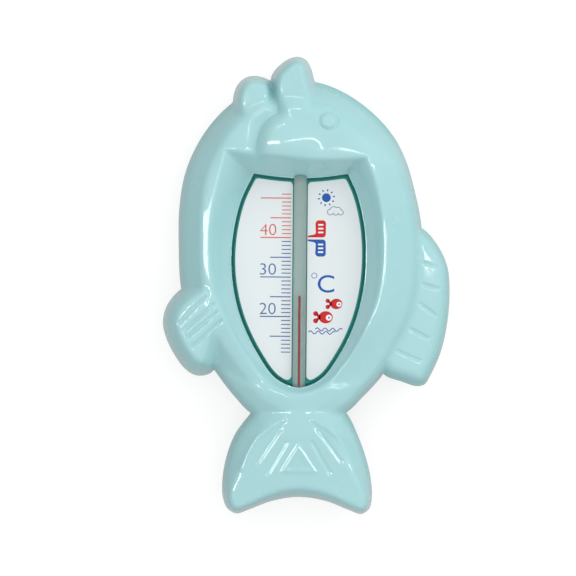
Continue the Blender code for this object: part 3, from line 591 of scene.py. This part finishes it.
def as_mesh(bm, name):
    """Mesh of that name, with its faces turned outwards."""
    bmesh.ops.recalc_face_normals(bm, faces=bm.faces)
    mesh = bpy.data.meshes.new(name)
    bm.to_mesh(mesh)
    bm.free()
    return mesh


def from_points(name, points, faces):
    """Mesh object from millimetre points, faces outwards and smooth except at sharp edges."""
    raw = bpy.data.meshes.new("raw")
    raw.from_pydata([(x * MM, y * MM, z * MM) for x, y, z in points], [], faces)
    bm = bmesh.new()
    bm.from_mesh(raw)
    bpy.data.meshes.remove(raw)
    mesh = as_mesh(bm, name)
    mesh.shade_smooth()
    mesh.set_sharp_from_angle(angle=math.radians(50))
    return placed(name, mesh)


print("welds points nearer than", WELD, "m")


# %% Shell
def shell(name, face_points, under_points, face, under, base, holes=()):
    """Closed moulded shell: sculpted face, rim on the parting line, hollow behind."""
    points, faces = [], []

    def layer(loops, wanted, height, extra=np.zeros((0, 2))):
        """Fill the sheet between closed loops, and give the first point of each."""
        first, edges, start = [], [], len(points)
        for loop in loops:
            first.append(start + len(edges))
            edges += loop_edges(len(loop), len(edges))
        xy, tri = triangles(np.concatenate([*loops, extra[wanted(extra)]]), edges, wanted)
        faces.extend(tuple(int(i) + start for i in t) for t in tri)
        points.extend((x, y, z) for (x, y), z in zip(xy, height(xy)))
        return first

    def within(border):
        return lambda c: inside(c, border) & ~np.any([inside(c, hole) for hole in holes], 0)

    upper = layer([FISH_LINE, *holes], within(FISH_LINE), face, face_points)
    lower = layer([HOLLOW_LINE, *holes], within(HOLLOW_LINE), under, under_points)
    rim = layer([FISH_LINE, HOLLOW_LINE], lambda c: inside(c, FISH_LINE) & ~inside(c, HOLLOW_LINE),
                lambda xy: np.full(len(xy), base))
    walls = [(upper[0], rim[0], FISH_LINE), (lower[0], rim[1], HOLLOW_LINE)]
    for top, foot, loop in walls + list(zip(upper[1:], lower[1:], holes)):
        for i, j in loop_edges(len(loop)):
            faces.append((top + i, top + j, foot + j, foot + i))
    return from_points(name, points, faces)


def slope(height, p, reach=0.25):
    """How much longer a wall measures upright than across, where its surface is steep."""
    gx, gy = ((height(p + way) - height(p - way)) / (2 * reach) for way in ((reach, 0), (0, reach)))
    return np.sqrt(1 + gx**2 + gy**2)


print("upright wall on a slope of 45 degrees:", round(WALL * math.sqrt(2), 1), "mm")


# %% [markdown]
# ## The front shell
# On the real part this is the piece that everyone sees, so it gets the finest mesh: rows every few
# tenths of a millimetre where the surface turns, and a grid of 0.75 mm over the soft slopes.

# %% Front shell
FINE = 0.75


def front_points():
    register = Register(np.concatenate([FISH_LINE, WINDOW_LINE]))
    for reach in (0.0, 0.45, -0.45, 0.95, -0.95, 1.6, -1.6):
        register.add(offset(RIM_LINE, reach) if reach else RIM_LINE, 0.3)
    for reach in (0.3, 0.7, 1.2):
        register.add(offset(WINDOW_LINE, reach), 0.3)
    for corner in (LEFT, RIGHT):
        register.add(np.linspace(WINDOW[corner][:2], RIM[corner][:2], 40), 0.2)
    register.add(edge_rows((0.3, 0.7, 1.2, 1.8, 2.5, 3.3)), 0.32)
    lines = BELLY_GROOVES + BACK_RIBS + TAIL_RAYS + SWEEPS
    tight = grid(0.42)
    near = np.min([to_line(tight, ends) for ends in lines], 0) < 1.3
    near |= np.abs(depth(tight, np.array(TAIL_TRIANGLE))) < 0.8
    near |= np.hypot(tight[:, 0] - EYE[0], tight[:, 1] - EYE[1]) < 3.9
    near |= to_line(tight, MOUTH_LINE) < 1.2
    register.add(tight[near], 0.3)
    register.add(grid(FINE), 0.6 * FINE)
    return np.array(register.points)


def front_face(p):
    return PARTING + EDGE + np.where(fish_depth(p) < 0.02, 0, front_relief(p))


def front_under(p):
    thick = np.minimum(WALL * slope(front_relief, p), 2.4 * WALL)
    height = PARTING + EDGE + front_relief(p) - thick
    height = np.where(-depth(p, WINDOW_LINE) < 0.6, PARTING + EDGE + LIP_HEIGHT - WALL, height)
    return np.maximum(height, PARTING + 1.0)


front = shell("front_moulding", front_points(), grid(3.0), front_face, front_under,
              PARTING + GAP / 2, [WINDOW_LINE])
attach(front, "root")
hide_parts("front_shell")
print("front shell:", len(front.data.polygons), "faces")

# %% [markdown]
# ## The rear shell
# The rear shell is built in the same way from its own relief. Slots behind the bulb let the bath
# water in: they are cut with a Boolean, as they would be by steel blades in the mould.

# %% Rear shell
VENT_Y = (-44.0, -48.0, -52.0)
VENT_SIZE = (9.0, 2.0, 9.0)
VENT_Z = 4.0


def rear_points():
    register = Register(FISH_LINE)
    register.add(edge_rows((0.35, 0.8, 1.4, 2.1, 3.0, 4.0, 5.2, 6.5)), 0.5)
    soft = grid(1.1)
    soft = soft[np.abs(rear_relief(soft) - 4.2) < 4.2]
    register.add(soft, 0.7)
    return np.array(register.points)


def rear_face(p):
    return PARTING - EDGE - np.where(fish_depth(p) < 0.02, 0, rear_relief(p))


def rear_under(p):
    thick = np.minimum(WALL * slope(rear_relief, p), 2.2 * WALL)
    return np.minimum(PARTING - EDGE - rear_relief(p) + thick, PARTING - 1.0)


rear = shell("rear_moulding", rear_points(), grid(4.0), rear_face, rear_under, PARTING - GAP / 2)
blades = []
for y in VENT_Y:
    bm = bmesh.new()
    bmesh.ops.create_cube(bm, size=1)
    bmesh.ops.scale(bm, verts=bm.verts, vec=Vector(VENT_SIZE) * MM)
    bmesh.ops.translate(bm, verts=bm.verts, vec=(0, y * MM, VENT_Z * MM))
    blade = placed("blade", as_mesh(bm, "blade"))
    cut = rear.modifiers.new("slot", "BOOLEAN")
    cut.object, cut.operation, cut.solver = blade, "DIFFERENCE", "EXACT"
    blades.append(blade)
cut_mesh = bpy.data.meshes.new_from_object(rear.evaluated_get(bpy.context.evaluated_depsgraph_get()))
rear.modifiers.clear()
rear.data = cut_mesh
for blade in blades:
    bpy.data.objects.remove(blade, do_unlink=True)
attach(rear, "root")
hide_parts("rear_shell")
print("rear shell:", len(rear.data.polygons), "faces")

# %% [markdown]
# ## Helpers for materials
# Every finish here is procedural. A few helpers keep the node trees short: they fill in several
# inputs, do sums, stretch a range and mix two colours. Noise and distances are given in
# millimetres in the object's own space, so that a finish keeps its scale on every piece.

# %% Node helpers
def material(name):
    made = bpy.data.materials.new(name)
    made.use_nodes = True
    return made, made.node_tree, made.node_tree.nodes["Principled BSDF"]


def fill(node, values):
    """Set several inputs of a node, each to a value or to another node's output."""
    for name, value in values.items():
        if isinstance(value, bpy.types.NodeSocket):
            node.id_data.links.new(value, node.inputs[name])
        else:
            node.inputs[name].default_value = value
    return node


def add_node(tree, kind, values, output=0):
    """Output of a new node with some of its inputs filled in."""
    return fill(tree.nodes.new(kind), values).outputs[output]


def maths(tree, operation, *terms):
    node = tree.nodes.new("ShaderNodeMath")
    node.operation = operation
    return fill(node, dict(enumerate(terms))).outputs[0]


def mix(tree, factor, first, second):
    """Colour from the first to the second, which are colours or outputs."""
    node = tree.nodes.new("ShaderNodeMix")
    node.data_type = "RGBA"
    first, second = ((*c, 1) if isinstance(c, tuple) else c for c in (first, second))
    return fill(node, {0: factor, 6: first, 7: second}).outputs[2]


def ranged(tree, value, low, high, to_low=0.0, to_high=1.0):
    """Value stretched from one range to another and held at its ends."""
    return add_node(tree, "ShaderNodeMapRange", {"Value": value, "From Min": low, "From Max": high,
                                                 "To Min": to_low, "To Max": to_high})


def dress(piece, finish):
    piece.data.materials.clear()
    piece.data.materials.append(finish)


print("node helpers ready")


# %% Noise and distances
NOISE_RANGE = (0.3, 0.7)


def spread(tree, value, low, high):
    """Noise value stretched to a range."""
    return ranged(tree, value, *NOISE_RANGE, low, high)


def own_place(tree):
    """Place of a point in its object's own space."""
    return add_node(tree, "ShaderNodeTexCoord", {}, "Object")


def noise(tree, size, detail=2.0):
    """Noise with clouds of about this size in millimetres."""
    return add_node(tree, "ShaderNodeTexNoise",
                    {"Vector": own_place(tree), "Scale": 1 / (size * MM), "Detail": detail})


def along(tree, axis, low, high):
    """0 at one distance from the object's origin on an axis and 1 at another."""
    part = add_node(tree, "ShaderNodeSeparateXYZ", {0: own_place(tree)}, axis)
    return ranged(tree, maths(tree, "ABSOLUTE", part), low * MM, high * MM)


def bumps(tree, height, strength, distance):
    return add_node(tree, "ShaderNodeBump",
                    {"Height": height, "Strength": strength, "Distance": distance * MM})


print("noise is used from", NOISE_RANGE[0], "to", NOISE_RANGE[1])


# %% [markdown]
# ## Glossy aqua plastic
# Bath toys are moulded in a lightly milky ABS: the colour sits in the plastic, light travels a
# little way in, and the polished mould leaves a clear skin. So the shader has a pale aqua base with
# a trace of subsurface light and a smooth coat. The noise is what makes it moulded and not painted:
# cloudy colour of a few centimetres, and a faint waviness in the gloss. Low on the shells, at the
# funnel's foot and on the flanks, the colour is painted deeper: painted shade for the light that has bounced
# from wall to wall there.

# %% Plastic
AQUA_PALE = (0.362, 0.626, 0.646)
AQUA_DEEP = (0.338, 0.602, 0.622)
# painted shade: the deeper colour that the plastic is given low down, in the funnel and on the flanks
AQUA_PAINTED_SHADE = (0.215, 0.545, 0.555)
PAINTED_SHADE_RANGE = (12.5, 17.0)


def moulded(name, pale, deep, foot=None, coat=0.75, specular=0.2):
    """Glossy moulded plastic, with painted shade that deepens its colour low down if that colour is given."""
    made, tree, surface = material(name)
    colour = mix(tree, spread(tree, noise(tree, 28), 0, 1), deep, pale)
    # painted shade: the colour deepens from 17 mm down to 12.5 mm above the floor
    if foot:
        colour = mix(tree, along(tree, "Z", *PAINTED_SHADE_RANGE), foot, colour)
    fill(surface, {"Base Color": colour, "Roughness": spread(tree, noise(tree, 9), 0.20, 0.28),
                   "Normal": bumps(tree, noise(tree, 5), 0.25, 0.05),
                   "IOR": 1.5, "Specular IOR Level": specular, "Coat Weight": coat, "Coat Roughness": 0.05,
                   "Subsurface Weight": 0.12, "Subsurface Radius": (0.6, 1.0, 1.0),
                   "Subsurface Scale": 1.5 * MM})
    return made


aqua = moulded("aqua plastic", AQUA_PALE, AQUA_DEEP, AQUA_PAINTED_SHADE)
for piece in (front, rear):
    dress(piece, aqua)
print("material:", aqua.name)

# %% [markdown]
# ## The scale carrier
# The carrier is the same kind of plastic in a deeper green, seen in the shade of the window. Its
# colour is set darker still, as painted shade for the narrow gap round the window, and it gets no
# coat and little gloss. The imported solid already has the right form and is kept. A small
# bevel gives its edges the roundness of a moulding.

# %% Carrier
# painted shade: the carrier's colours are set dark to stand for the shade in the gap round the window
CARRIER_PALE_WITH_SHADE = (0.03, 0.38, 0.33)
CARRIER_DEEP_WITH_SHADE = (0.02, 0.32, 0.28)


def soften(piece, width, angle):
    """Bevel on the edges that turn by more than an angle in degrees."""
    bevel = piece.modifiers.new("soft edges", "BEVEL")
    bevel.width = width * MM
    bevel.segments = 2
    bevel.limit_method = "ANGLE"
    bevel.angle_limit = math.radians(angle)


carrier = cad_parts["scale_carrier"]
soften(carrier, 0.12, 40)
dress(carrier, moulded("carrier plastic with painted shade", CARRIER_PALE_WITH_SHADE, CARRIER_DEEP_WITH_SHADE, coat=0.0, specular=0.15))

# %% [markdown]
# ## The scale cards
# Two die-cut cards of satin white film lie on the carrier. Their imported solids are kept, with a
# fine bevel. The white is a touch cool, and a very fine grain breaks the shine as on printed film.

# %% Cards
FILM_COOL = (0.71, 0.765, 0.78)
FILM_WHITE = (0.745, 0.79, 0.80)
film, tree, surface = material("satin white film")
fill(surface, {"Base Color": mix(tree, noise(tree, 12), FILM_COOL, FILM_WHITE), "Roughness": 0.42,
               "Normal": bumps(tree, noise(tree, 0.35, 4.0), 0.15, 0.02)})
for name in ("scale_card_left", "scale_card_right"):
    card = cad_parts[name]
    soften(card, 0.05, 30)
    dress(card, film)
CARD_TOP = float(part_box("scale_card_left")[1][2]) / MM
print("card tops at", round(CARD_TOP, 2), "mm")

# %% [markdown]
# ## Printing ink
# The print is a real layer here: flat shapes raised by a few hundredths of a millimetre over the
# card, as pad printing leaves them. A shape is a list of closed outlines or strokes, so the print
# stays sharp at any size and needs no picture.

# %% Ink
INK_LOW = CARD_TOP + 0.005
INK_HIGH = CARD_TOP + 0.03
OVERPRINT = 0.02


def printed(name, mesh, colour):
    """Piece of ink on the card, attached to the root body."""
    obj = placed(name, mesh)
    dress(obj, colour)
    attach(obj, "root")
    return obj


def ink(name, shapes, colour, lift=0.0):
    """Flat shapes printed on a card, or on earlier ink if they are lifted."""
    bm = bmesh.new()
    for shape in shapes:
        verts = [bm.verts.new((x * MM, y * MM, (INK_LOW + lift) * MM)) for x, y in shape["points"]]
        for face in shape["faces"]:
            bm.faces.new([verts[i] for i in face])
    raised = bmesh.ops.extrude_face_region(bm, geom=list(bm.faces))["geom"]
    tops = [v for v in raised if isinstance(v, bmesh.types.BMVert)]
    bmesh.ops.translate(bm, verts=tops, vec=(0, 0, (INK_HIGH - INK_LOW) * MM))
    return printed(name, as_mesh(bm, name), colour)


def ink_colour(name, full, thin):
    """Ink that covers a little unevenly."""
    made, tree, surface = material(name)
    patchy = spread(tree, noise(tree, 0.6, 3.0), 0, 1)
    fill(surface, {"Base Color": mix(tree, patchy, thin, full), "Roughness": 0.38, "Specular IOR Level": 0.2})
    return made


RED = ink_colour("red ink", (0.55, 0.012, 0.018), (0.62, 0.03, 0.03))
SCALE_RED = ink_colour("scale red ink", (0.62, 0.08, 0.07), (0.68, 0.13, 0.11))
BLUE = ink_colour("blue ink", (0.015, 0.085, 0.37), (0.03, 0.11, 0.42))
STEEL = ink_colour("steel blue ink", (0.045, 0.11, 0.31), (0.07, 0.15, 0.37))
WHITE = ink_colour("white ink", (0.84, 0.86, 0.87), (0.80, 0.83, 0.84))
print("ink is", round(INK_HIGH - INK_LOW, 3), "mm thick")


# %% Shapes to print
def outline(points):
    return {"points": points, "faces": [list(range(len(points)))]}


def stroke(points, width, closed=False):
    """Strip of even width along a line, made of four-sided faces."""
    line = np.array(points, float)
    ahead = np.roll(line, -1, 0) - line
    behind = line - np.roll(line, 1, 0)
    if not closed:
        ahead[-1] = behind[-1]
        behind[0] = ahead[0]
    way = sum(v / np.linalg.norm(v, axis=1)[:, None] for v in (ahead, behind))
    way /= np.linalg.norm(way, axis=1)[:, None]
    across = np.stack([-way[:, 1], way[:, 0]], 1) * width / 2
    count = len(line)
    last = count if closed else count - 1
    faces = [[i, (i + 1) % count, (i + 1) % count + count, i + count] for i in range(last)]
    return {"points": np.concatenate([line - across, line + across]), "faces": faces}


def ellipse(centre, wide, high, count=32, start=0.0, turn=2 * math.pi):
    """Points on an ellipse, or on a piece of one when the turn isn't full."""
    angles = [start + turn * k / count for k in range(count if turn >= 2 * math.pi else count + 1)]
    return [(centre[0] + wide * math.cos(a), centre[1] + high * math.sin(a)) for a in angles]


def circle(centre, radius, *rest):
    return ellipse(centre, radius, radius, *rest)


print("a plain circle has", len(circle((0, 0), 1)), "points")

# %% [markdown]
# ## The graduations
# One degree is 1.296 mm, counted from 40 degrees, so a single loop sets every line. Each fifth line
# is longer and each tenth longest. The scale turns red from 40 degrees up, where a bath is too hot.

# %% Graduations
DEGREE = 1.296
FORTY_Y = 14.7
TICK_END = -2.95
TICK_LENGTHS = {10: -13.0, 5: -9.7, 1: -6.0}


def height_of(value):
    """Place of a temperature along the card."""
    return FORTY_Y + (value - 40) * DEGREE


def tick(value):
    y = height_of(value)
    far = TICK_LENGTHS[10 if value % 10 == 0 else 5 if value % 5 == 0 else 1]
    return stroke([(far, y), (TICK_END, y)], 0.30 if value % 5 else 0.34)


ink("hot_graduations", [tick(v) for v in range(40, 52)], SCALE_RED)
ink("graduations", [tick(v) for v in range(11, 40)], STEEL)
print("20 to 50 degrees span", round(30 * DEGREE, 1), "mm")

# %% [markdown]
# ## Numbers
# Numbers on a dial are plain type. Blender's own font is turned into a mesh and fitted into the
# box that each number takes on the card.


# %% Numbers
def number(name, words, low, high, colour, weight=0.0):
    """Words set into a box between two corners, in millimetres."""
    curve = bpy.data.curves.new(name, "FONT")
    curve.body = words
    curve.offset = weight
    curve.extrude = 0.5
    text = placed(name, curve)
    bpy.context.view_layer.update()
    bm = bmesh.new()
    bm.from_mesh(bpy.data.meshes.new_from_object(text.evaluated_get(bpy.context.evaluated_depsgraph_get())))
    bpy.data.objects.remove(text, do_unlink=True)
    co = np.array([v.co for v in bm.verts])
    goal_low = np.array([*low, INK_LOW]) * MM
    goal_high = np.array([*high, INK_HIGH]) * MM
    fitted = goal_low + (co - co.min(0)) / (co.max(0) - co.min(0)) * (goal_high - goal_low)
    for vert, place in zip(bm.verts, fitted):
        vert.co = place
    bmesh.ops.remove_doubles(bm, verts=bm.verts, dist=WELD)
    return printed(name, as_mesh(bm, name), colour)


NUMBER_LEFT = -13.1
NUMBER_WIDTH = 5.3
NUMBER_HEIGHT = 3.7
NUMBER_LIFT = 0.75
for value, colour in ((40, SCALE_RED), (30, STEEL), (20, STEEL)):
    y = height_of(value) + NUMBER_LIFT
    corner = (NUMBER_LEFT + NUMBER_WIDTH, y + NUMBER_HEIGHT)
    number(f"number_{value}", str(value), (NUMBER_LEFT, y), corner, colour, -0.012)
number("letter_C", "C", (5.95, -3.25), (11.4, 2.5), BLUE)
ink("degree_ring", [stroke(circle((4.8, 2.3), 0.85, 24), 0.2, closed=True)], BLUE)
print("numbers are", NUMBER_HEIGHT, "mm high")

# %% [markdown]
# ## The small pictures
# A sun, a cloud, two fishes and some waves help a parent read the scale at a glance. They are
# plain figures made from circles, arcs and sine lines. The two pointers mark the warmest and the
# coolest bath, and carry plain white bars.

# %% Sun and cloud
SUN = (8.55, 27.9)
rays = []
for k in range(10):
    angle = 2 * math.pi * (k + 0.25) / 10
    arm = np.array([math.cos(angle), math.sin(angle)])
    rays.append(stroke([SUN + arm * 2.15, SUN + arm * 2.8], 0.42))
ink("sun", [outline(circle(SUN, 1.45, 36))] + rays, BLUE)
BUMPS = [((9.9, 23.2), 0.95), ((11.0, 23.9), 1.1), ((12.4, 23.8), 1.0),
         ((13.3, 23.1), 0.85), ((11.7, 23.0), 0.8)]
cloud = union_outline([np.array(circle(centre, radius)) for centre, radius in BUMPS], 0.12)
ink("cloud", [stroke(cloud, 0.2, closed=True)], STEEL)
print("sun has", len(rays), "rays")


# %% Pointers
def pointer(name, low, up, colour):
    """Rounded label with a tip that points at the scale; up is 1, or -1 to hang down."""
    high = low + up * 5.6
    points = [(2.6, low), (2.6, low + up * 0.55), (4.3, low + up * 0.85)]
    # Centre, radius, number of steps, first angle and turn of each rounded corner.
    for centre, radius, count, first, turn in (((4.3, low + up * 1.75), 0.9, 6, -90 * up, 80 * up),
                                               ((6.2, high - up * 1.15), 1.15, 8, 180, -90 * up),
                                               ((7.45, high - up * 1.05), 1.05, 8, 90 * up, -90 * up),
                                               ((7.45, low + up * 1.0), 1.0, 8, 0, -90 * up)):
        points += circle(centre, radius, count, math.radians(first), math.radians(turn))
    ink(name, [outline(points)], colour)
    bars = []
    for k in range(3):
        y = low + up * (1.35 + 1.25 * k)
        bars.append(outline([(5.95, y), (7.65, y), (7.65, y + up * 0.55), (5.95, y + up * 0.55)]))
    ink(name + "_bars", bars, WHITE, OVERPRINT)


pointer("hot_pointer", 14.85, 1, RED)
pointer("cool_pointer", 14.15, -1, BLUE)
print("pointers meet at", FORTY_Y, "mm")


# %% Fishes and waves
def little_fish(name, centre, size):
    """Round body with a forked tail and a white eye."""
    x, y = centre
    lobes = [outline(circle((x - size * 1.35, y + side * size * 0.48), size * 0.34, 16)) for side in (1, -1)]
    stem = [(x - size * 0.7, y + size * 0.2), (x - size * 1.3, y + size * 0.62), (x - size * 1.12, y),
            (x - size * 1.3, y - size * 0.62), (x - size * 0.7, y - size * 0.2)]
    eye = circle((x + size * 0.42, y - size * 0.05), size * 0.4, 20)
    pupil = circle((x + size * 0.44, y - size * 0.05), size * 0.13, 12)
    ink(name, [outline(ellipse(centre, size * 0.95, size * 0.82))], RED)
    ink(name + "_tail", lobes + [outline(stem)], RED)
    ink(name + "_eye", [outline(eye)], WHITE, OVERPRINT)
    ink(name + "_pupil", [outline(pupil)], STEEL, 2 * OVERPRINT)


little_fish("upper_fish", (12.1, -6.95), 2.1)
little_fish("lower_fish", (8.65, -11.35), 2.45)
WAVE_HEIGHT = 0.48
WAVE_LENGTH = 2.55
WAVE_FALL = 0.02
for k, (left, right, y) in enumerate(((5.3, 14.1, -15.3), (3.05, 11.8, -16.3))):
    run = np.linspace(0, right - left, 60)
    wave = y - WAVE_FALL * run + WAVE_HEIGHT * np.sin(run * 2 * math.pi / WAVE_LENGTH)
    ink(f"wave_{k}", [stroke(np.stack([left + run, wave], 1), 0.3)], BLUE)

# %% [markdown]
# ## The tube
# A spirit tube is drawn glass with a fine bore. Thick glass bends light so strongly that the thread
# looks wider than it is. To get that for real, the tube is solid glass with the red thread inside,
# each turned round the tube's axis. A milky strip of enamel is fused into the back of such tubes so
# that the thread stands out: here the lower half of the same surface turns from clear to milky.
# Where the glass is seen edge on, its colour is painted darker and greener by the viewing angle: painted
# shade on the tube's edges.

# %% Glass and spirit
TUBE_AXIS_Z = CARD_TOP + 0.5
GLASS_FACE = (0.92, 0.97, 0.96)
# painted shade: the darker, greener colour of the glass where it is seen edge on
GLASS_EDGE_PAINTED_SHADE = (0.55, 0.66, 0.64)
glass, tree, surface = material("drawn glass with enamel back")
# painted shade by viewing angle: the glass turns darker and greener towards its edges
edge = add_node(tree, "ShaderNodeLayerWeight", {"Blend": 0.5}, "Facing")
fill(surface, {"Base Color": mix(tree, spread(tree, edge, 0, 1), GLASS_FACE, GLASS_EDGE_PAINTED_SHADE),
               "Roughness": spread(tree, noise(tree, 6), 0.01, 0.05),
               "Transmission Weight": 1.0, "IOR": 1.48})
milky = mix(tree, noise(tree, 3), (0.66, 0.83, 0.80), (0.72, 0.88, 0.85))
enamel = add_node(tree, "ShaderNodeBsdfDiffuse", {"Color": milky})
clear = maths(tree, "MAXIMUM", along(tree, "Z", TUBE_AXIS_Z - 1.0, TUBE_AXIS_Z - 0.4),
              along(tree, "X", 1.1, 1.7))
either = add_node(tree, "ShaderNodeMixShader", {0: clear, 1: enamel, 2: surface.outputs[0]})
fill(tree.nodes["Material Output"], {"Surface": either})
dye, tree, surface = material("red spirit")
fill(surface, {"Base Color": mix(tree, noise(tree, 2), (0.34, 0.04, 0.04), (0.40, 0.06, 0.06)),
               "Roughness": 0.5, "Specular IOR Level": 0.1})
print("the tube's axis lies", round(TUBE_AXIS_Z, 2), "mm above the back")


# %% Tube and thread
def bulb_end(radius, y, count):
    """Quarter round at the closed end of a turned profile."""
    angles = [math.pi / 2 * k / count for k in range(count + 1)]
    return [(radius * math.sin(a), y - radius * math.cos(a)) for a in angles]


def turned(name, profile, segments, finish, nodes):
    """Profile of radius and place turned round the tube's axis."""
    bm = bmesh.new()
    verts = [bm.verts.new((r * MM, y * MM, TUBE_AXIS_Z * MM)) for r, y in profile]
    edges = [bm.edges.new(pair) for pair in zip(verts, verts[1:])]
    bmesh.ops.spin(bm, geom=verts + edges, cent=(0, 0, TUBE_AXIS_Z * MM), axis=(0, 1, 0),
                   angle=2 * math.pi, steps=segments, use_merge=True)
    bmesh.ops.remove_doubles(bm, verts=bm.verts, dist=WELD)
    mesh = as_mesh(bm, name)
    mesh.shade_smooth()
    mesh.set_sharp_from_angle(angle=math.radians(45))
    obj = placed(name, mesh)
    dress(obj, finish)
    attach(obj, "root")
    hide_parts(*nodes)


TUBE_RADIUS = 2.1
TUBE_TOP_Y = 41.0
BULB_RADIUS = 2.7
BULB_Y = -51.3
SHOULDER_Y = -42.0
THREAD_RADIUS = 0.26
THREAD_TOP_Y = -4.8
POOL_RADIUS = 1.9
glass_profile = bulb_end(BULB_RADIUS, BULB_Y, 8)
glass_profile += [(BULB_RADIUS, SHOULDER_Y - 1.4), (2.45, SHOULDER_Y - 0.6), (TUBE_RADIUS, SHOULDER_Y),
                  (TUBE_RADIUS, TUBE_TOP_Y - 0.5), (TUBE_RADIUS - 0.5, TUBE_TOP_Y), (0, TUBE_TOP_Y)]
turned("glass_tube_drawn", glass_profile, 64, glass, ["glass_tube"])
thread_profile = bulb_end(POOL_RADIUS, BULB_Y, 6)
thread_profile += [(POOL_RADIUS, SHOULDER_Y - 2.6), (THREAD_RADIUS, SHOULDER_Y - 0.6),
                   (THREAD_RADIUS, THREAD_TOP_Y), (0.2, THREAD_TOP_Y + 0.15), (0, THREAD_TOP_Y + 0.2)]
turned("red_thread", thread_profile, 32, dye, ["spirit_column"])
print("tube is", 2 * TUBE_RADIUS, "mm across")

# %% [markdown]
# ## The floor
# The photograph has a white background with hardly a shadow. A floor that is white in itself would
# mirror in the glossy edges and draw pale lines round the fish. So this one is grey paper that
# glows for the camera and through glass, just enough to reach white where nothing shades it, and
# only half as much in reflections. The soft shadow stays.

# %% Floor
FLOOR_HALF = 3.0
FLOOR_Z = -0.0002
FLOOR_GREY = (0.30, 0.30, 0.30, 1)
FLOOR_GLOW = 0.76
GLOSSY_SHARE = 0.5
floor_mesh = bpy.data.meshes.new("floor")
floor_mesh.from_pydata([(-FLOOR_HALF, -FLOOR_HALF, 0), (FLOOR_HALF, -FLOOR_HALF, 0),
                        (FLOOR_HALF, FLOOR_HALF, 0), (-FLOOR_HALF, FLOOR_HALF, 0)], [], [(0, 1, 2, 3)])
floor = placed("floor", floor_mesh)
floor.location.z = FLOOR_Z
paper, tree, surface = material("white paper")
fill(surface, {"Base Color": FLOOR_GREY, "Roughness": 0.9, "Specular IOR Level": 0.1})
path = tree.nodes.new("ShaderNodeLightPath").outputs
direct = maths(tree, "MAXIMUM", path["Is Camera Ray"], path["Is Transmission Ray"])
seen = maths(tree, "MAXIMUM", direct, maths(tree, "MULTIPLY", path["Is Glossy Ray"], GLOSSY_SHARE))
glow = add_node(tree, "ShaderNodeEmission", {"Strength": maths(tree, "MULTIPLY", seen, FLOOR_GLOW)})
both = add_node(tree, "ShaderNodeAddShader", {0: surface.outputs[0], 1: glow})
fill(tree.nodes["Material Output"], {"Surface": both})
dress(floor, paper)
print("floor:", 2 * FLOOR_HALF, "m wide")

# %% [markdown]
# ## The sky
# A white studio lights the fish from all round. It is dimmer at the horizon than overhead, because
# a surface that turns away mirrors the horizon strongly, and a bright one would bleach the edges.

# %% Sky
HORIZON = 0.36
ZENITH = 1.12
SKY_CURVE = 0.7
world = bpy.data.worlds.new("studio")
bpy.context.scene.world = world
world.use_nodes = True
tree = world.node_tree
way = add_node(tree, "ShaderNodeTexCoord", {}, "Generated")
rising = maths(tree, "POWER", add_node(tree, "ShaderNodeSeparateXYZ", {0: way}, "Z"), SKY_CURVE)
fill(tree.nodes["Background"],
     {"Color": (1, 1, 1, 1), "Strength": ranged(tree, rising, 0.0, 1.0, HORIZON, ZENITH)})
print("sky:", HORIZON, "to", ZENITH)

# %% [markdown]
# ## Lamps
# Three softboxes shape the fish: a key from the upper right, as in the picture, a low one beside
# it and a weak one overhead. They don't show in the gloss. The thin highlights on the crest and
# beside the window come from three strip lamps that do nothing else: they light only gloss, and
# only on the shells, as a photographer's strip lights with flags would.

# %% Lamps
AIM = (0, 0, 0.015)
SOFTBOXES = (("key", (0.38, 0.62, 0.52), (0.5, 0.5), 1.25),
             ("side", (0.65, 0.45, 0.28), (0.3, 0.6), 1.8),
             ("overhead", (0, 0, 1.5), (0.8, 0.8), 0.46))
GLEAMS = (("left gleam", (-0.35, 0.02, 0.95), (0.09, 0.56), 2.2),
          ("upper gleam", (-0.10, 0.50, 0.90), (0.40, 0.05), 0.6),
          ("right gleam", (0.30, 0.10, 0.95), (0.03, 0.60), 0.9))


def area_lamp(name, place, size, power):
    """Flat lamp in metres and watts, turned to the fish."""
    data = bpy.data.lights.new(name, "AREA")
    data.shape = "RECTANGLE"
    data.size, data.size_y = size
    data.energy = power
    lamp = placed(name, data)
    lamp.location = place
    lamp.rotation_euler = (Vector(AIM) - Vector(place)).to_track_quat("-Z", "Y").to_euler()
    return lamp


for values in SOFTBOXES:
    area_lamp(*values).visible_glossy = False
polished = bpy.data.collections.new("polished shells")
for piece in (front, rear):
    polished.objects.link(piece)
for values in GLEAMS:
    gleam = area_lamp(*values)
    gleam.visible_diffuse = False
    gleam.visible_transmission = False
    gleam.light_linking.receiver_collection = polished

# %% [markdown]
# ## The camera
# The picture was taken from straight above with a long lens. One photograph pixel is 0.329 mm on
# the part, and the tube leans by half a degree, so the camera is turned by that much.

# %% Camera
PIXEL = 0.329
FRAME_PIXELS = 576
TUBE_PIXEL = (299.6, 282.5)
ROLL = math.radians(0.47)
DISTANCE = 1.2
FOCUS_Z = 0.012
cam_data = bpy.data.cameras.new("camera")
camera = placed("camera", cam_data)
right = (FRAME_PIXELS / 2 - TUBE_PIXEL[0]) * PIXEL * MM
up = (TUBE_PIXEL[1] - FRAME_PIXELS / 2) * PIXEL * MM
camera.location = (right * math.cos(ROLL) - up * math.sin(ROLL),
                   right * math.sin(ROLL) + up * math.cos(ROLL), DISTANCE + FOCUS_Z)
camera.rotation_euler = (0, 0, ROLL)
cam_data.sensor_width = 36
cam_data.lens = cam_data.sensor_width * DISTANCE / (FRAME_PIXELS * PIXEL * MM)
cam_data.clip_end = 10
bpy.context.scene.camera = camera
bpy.context.scene.view_settings.view_transform = "Standard"
print("lens:", round(cam_data.lens), "mm")
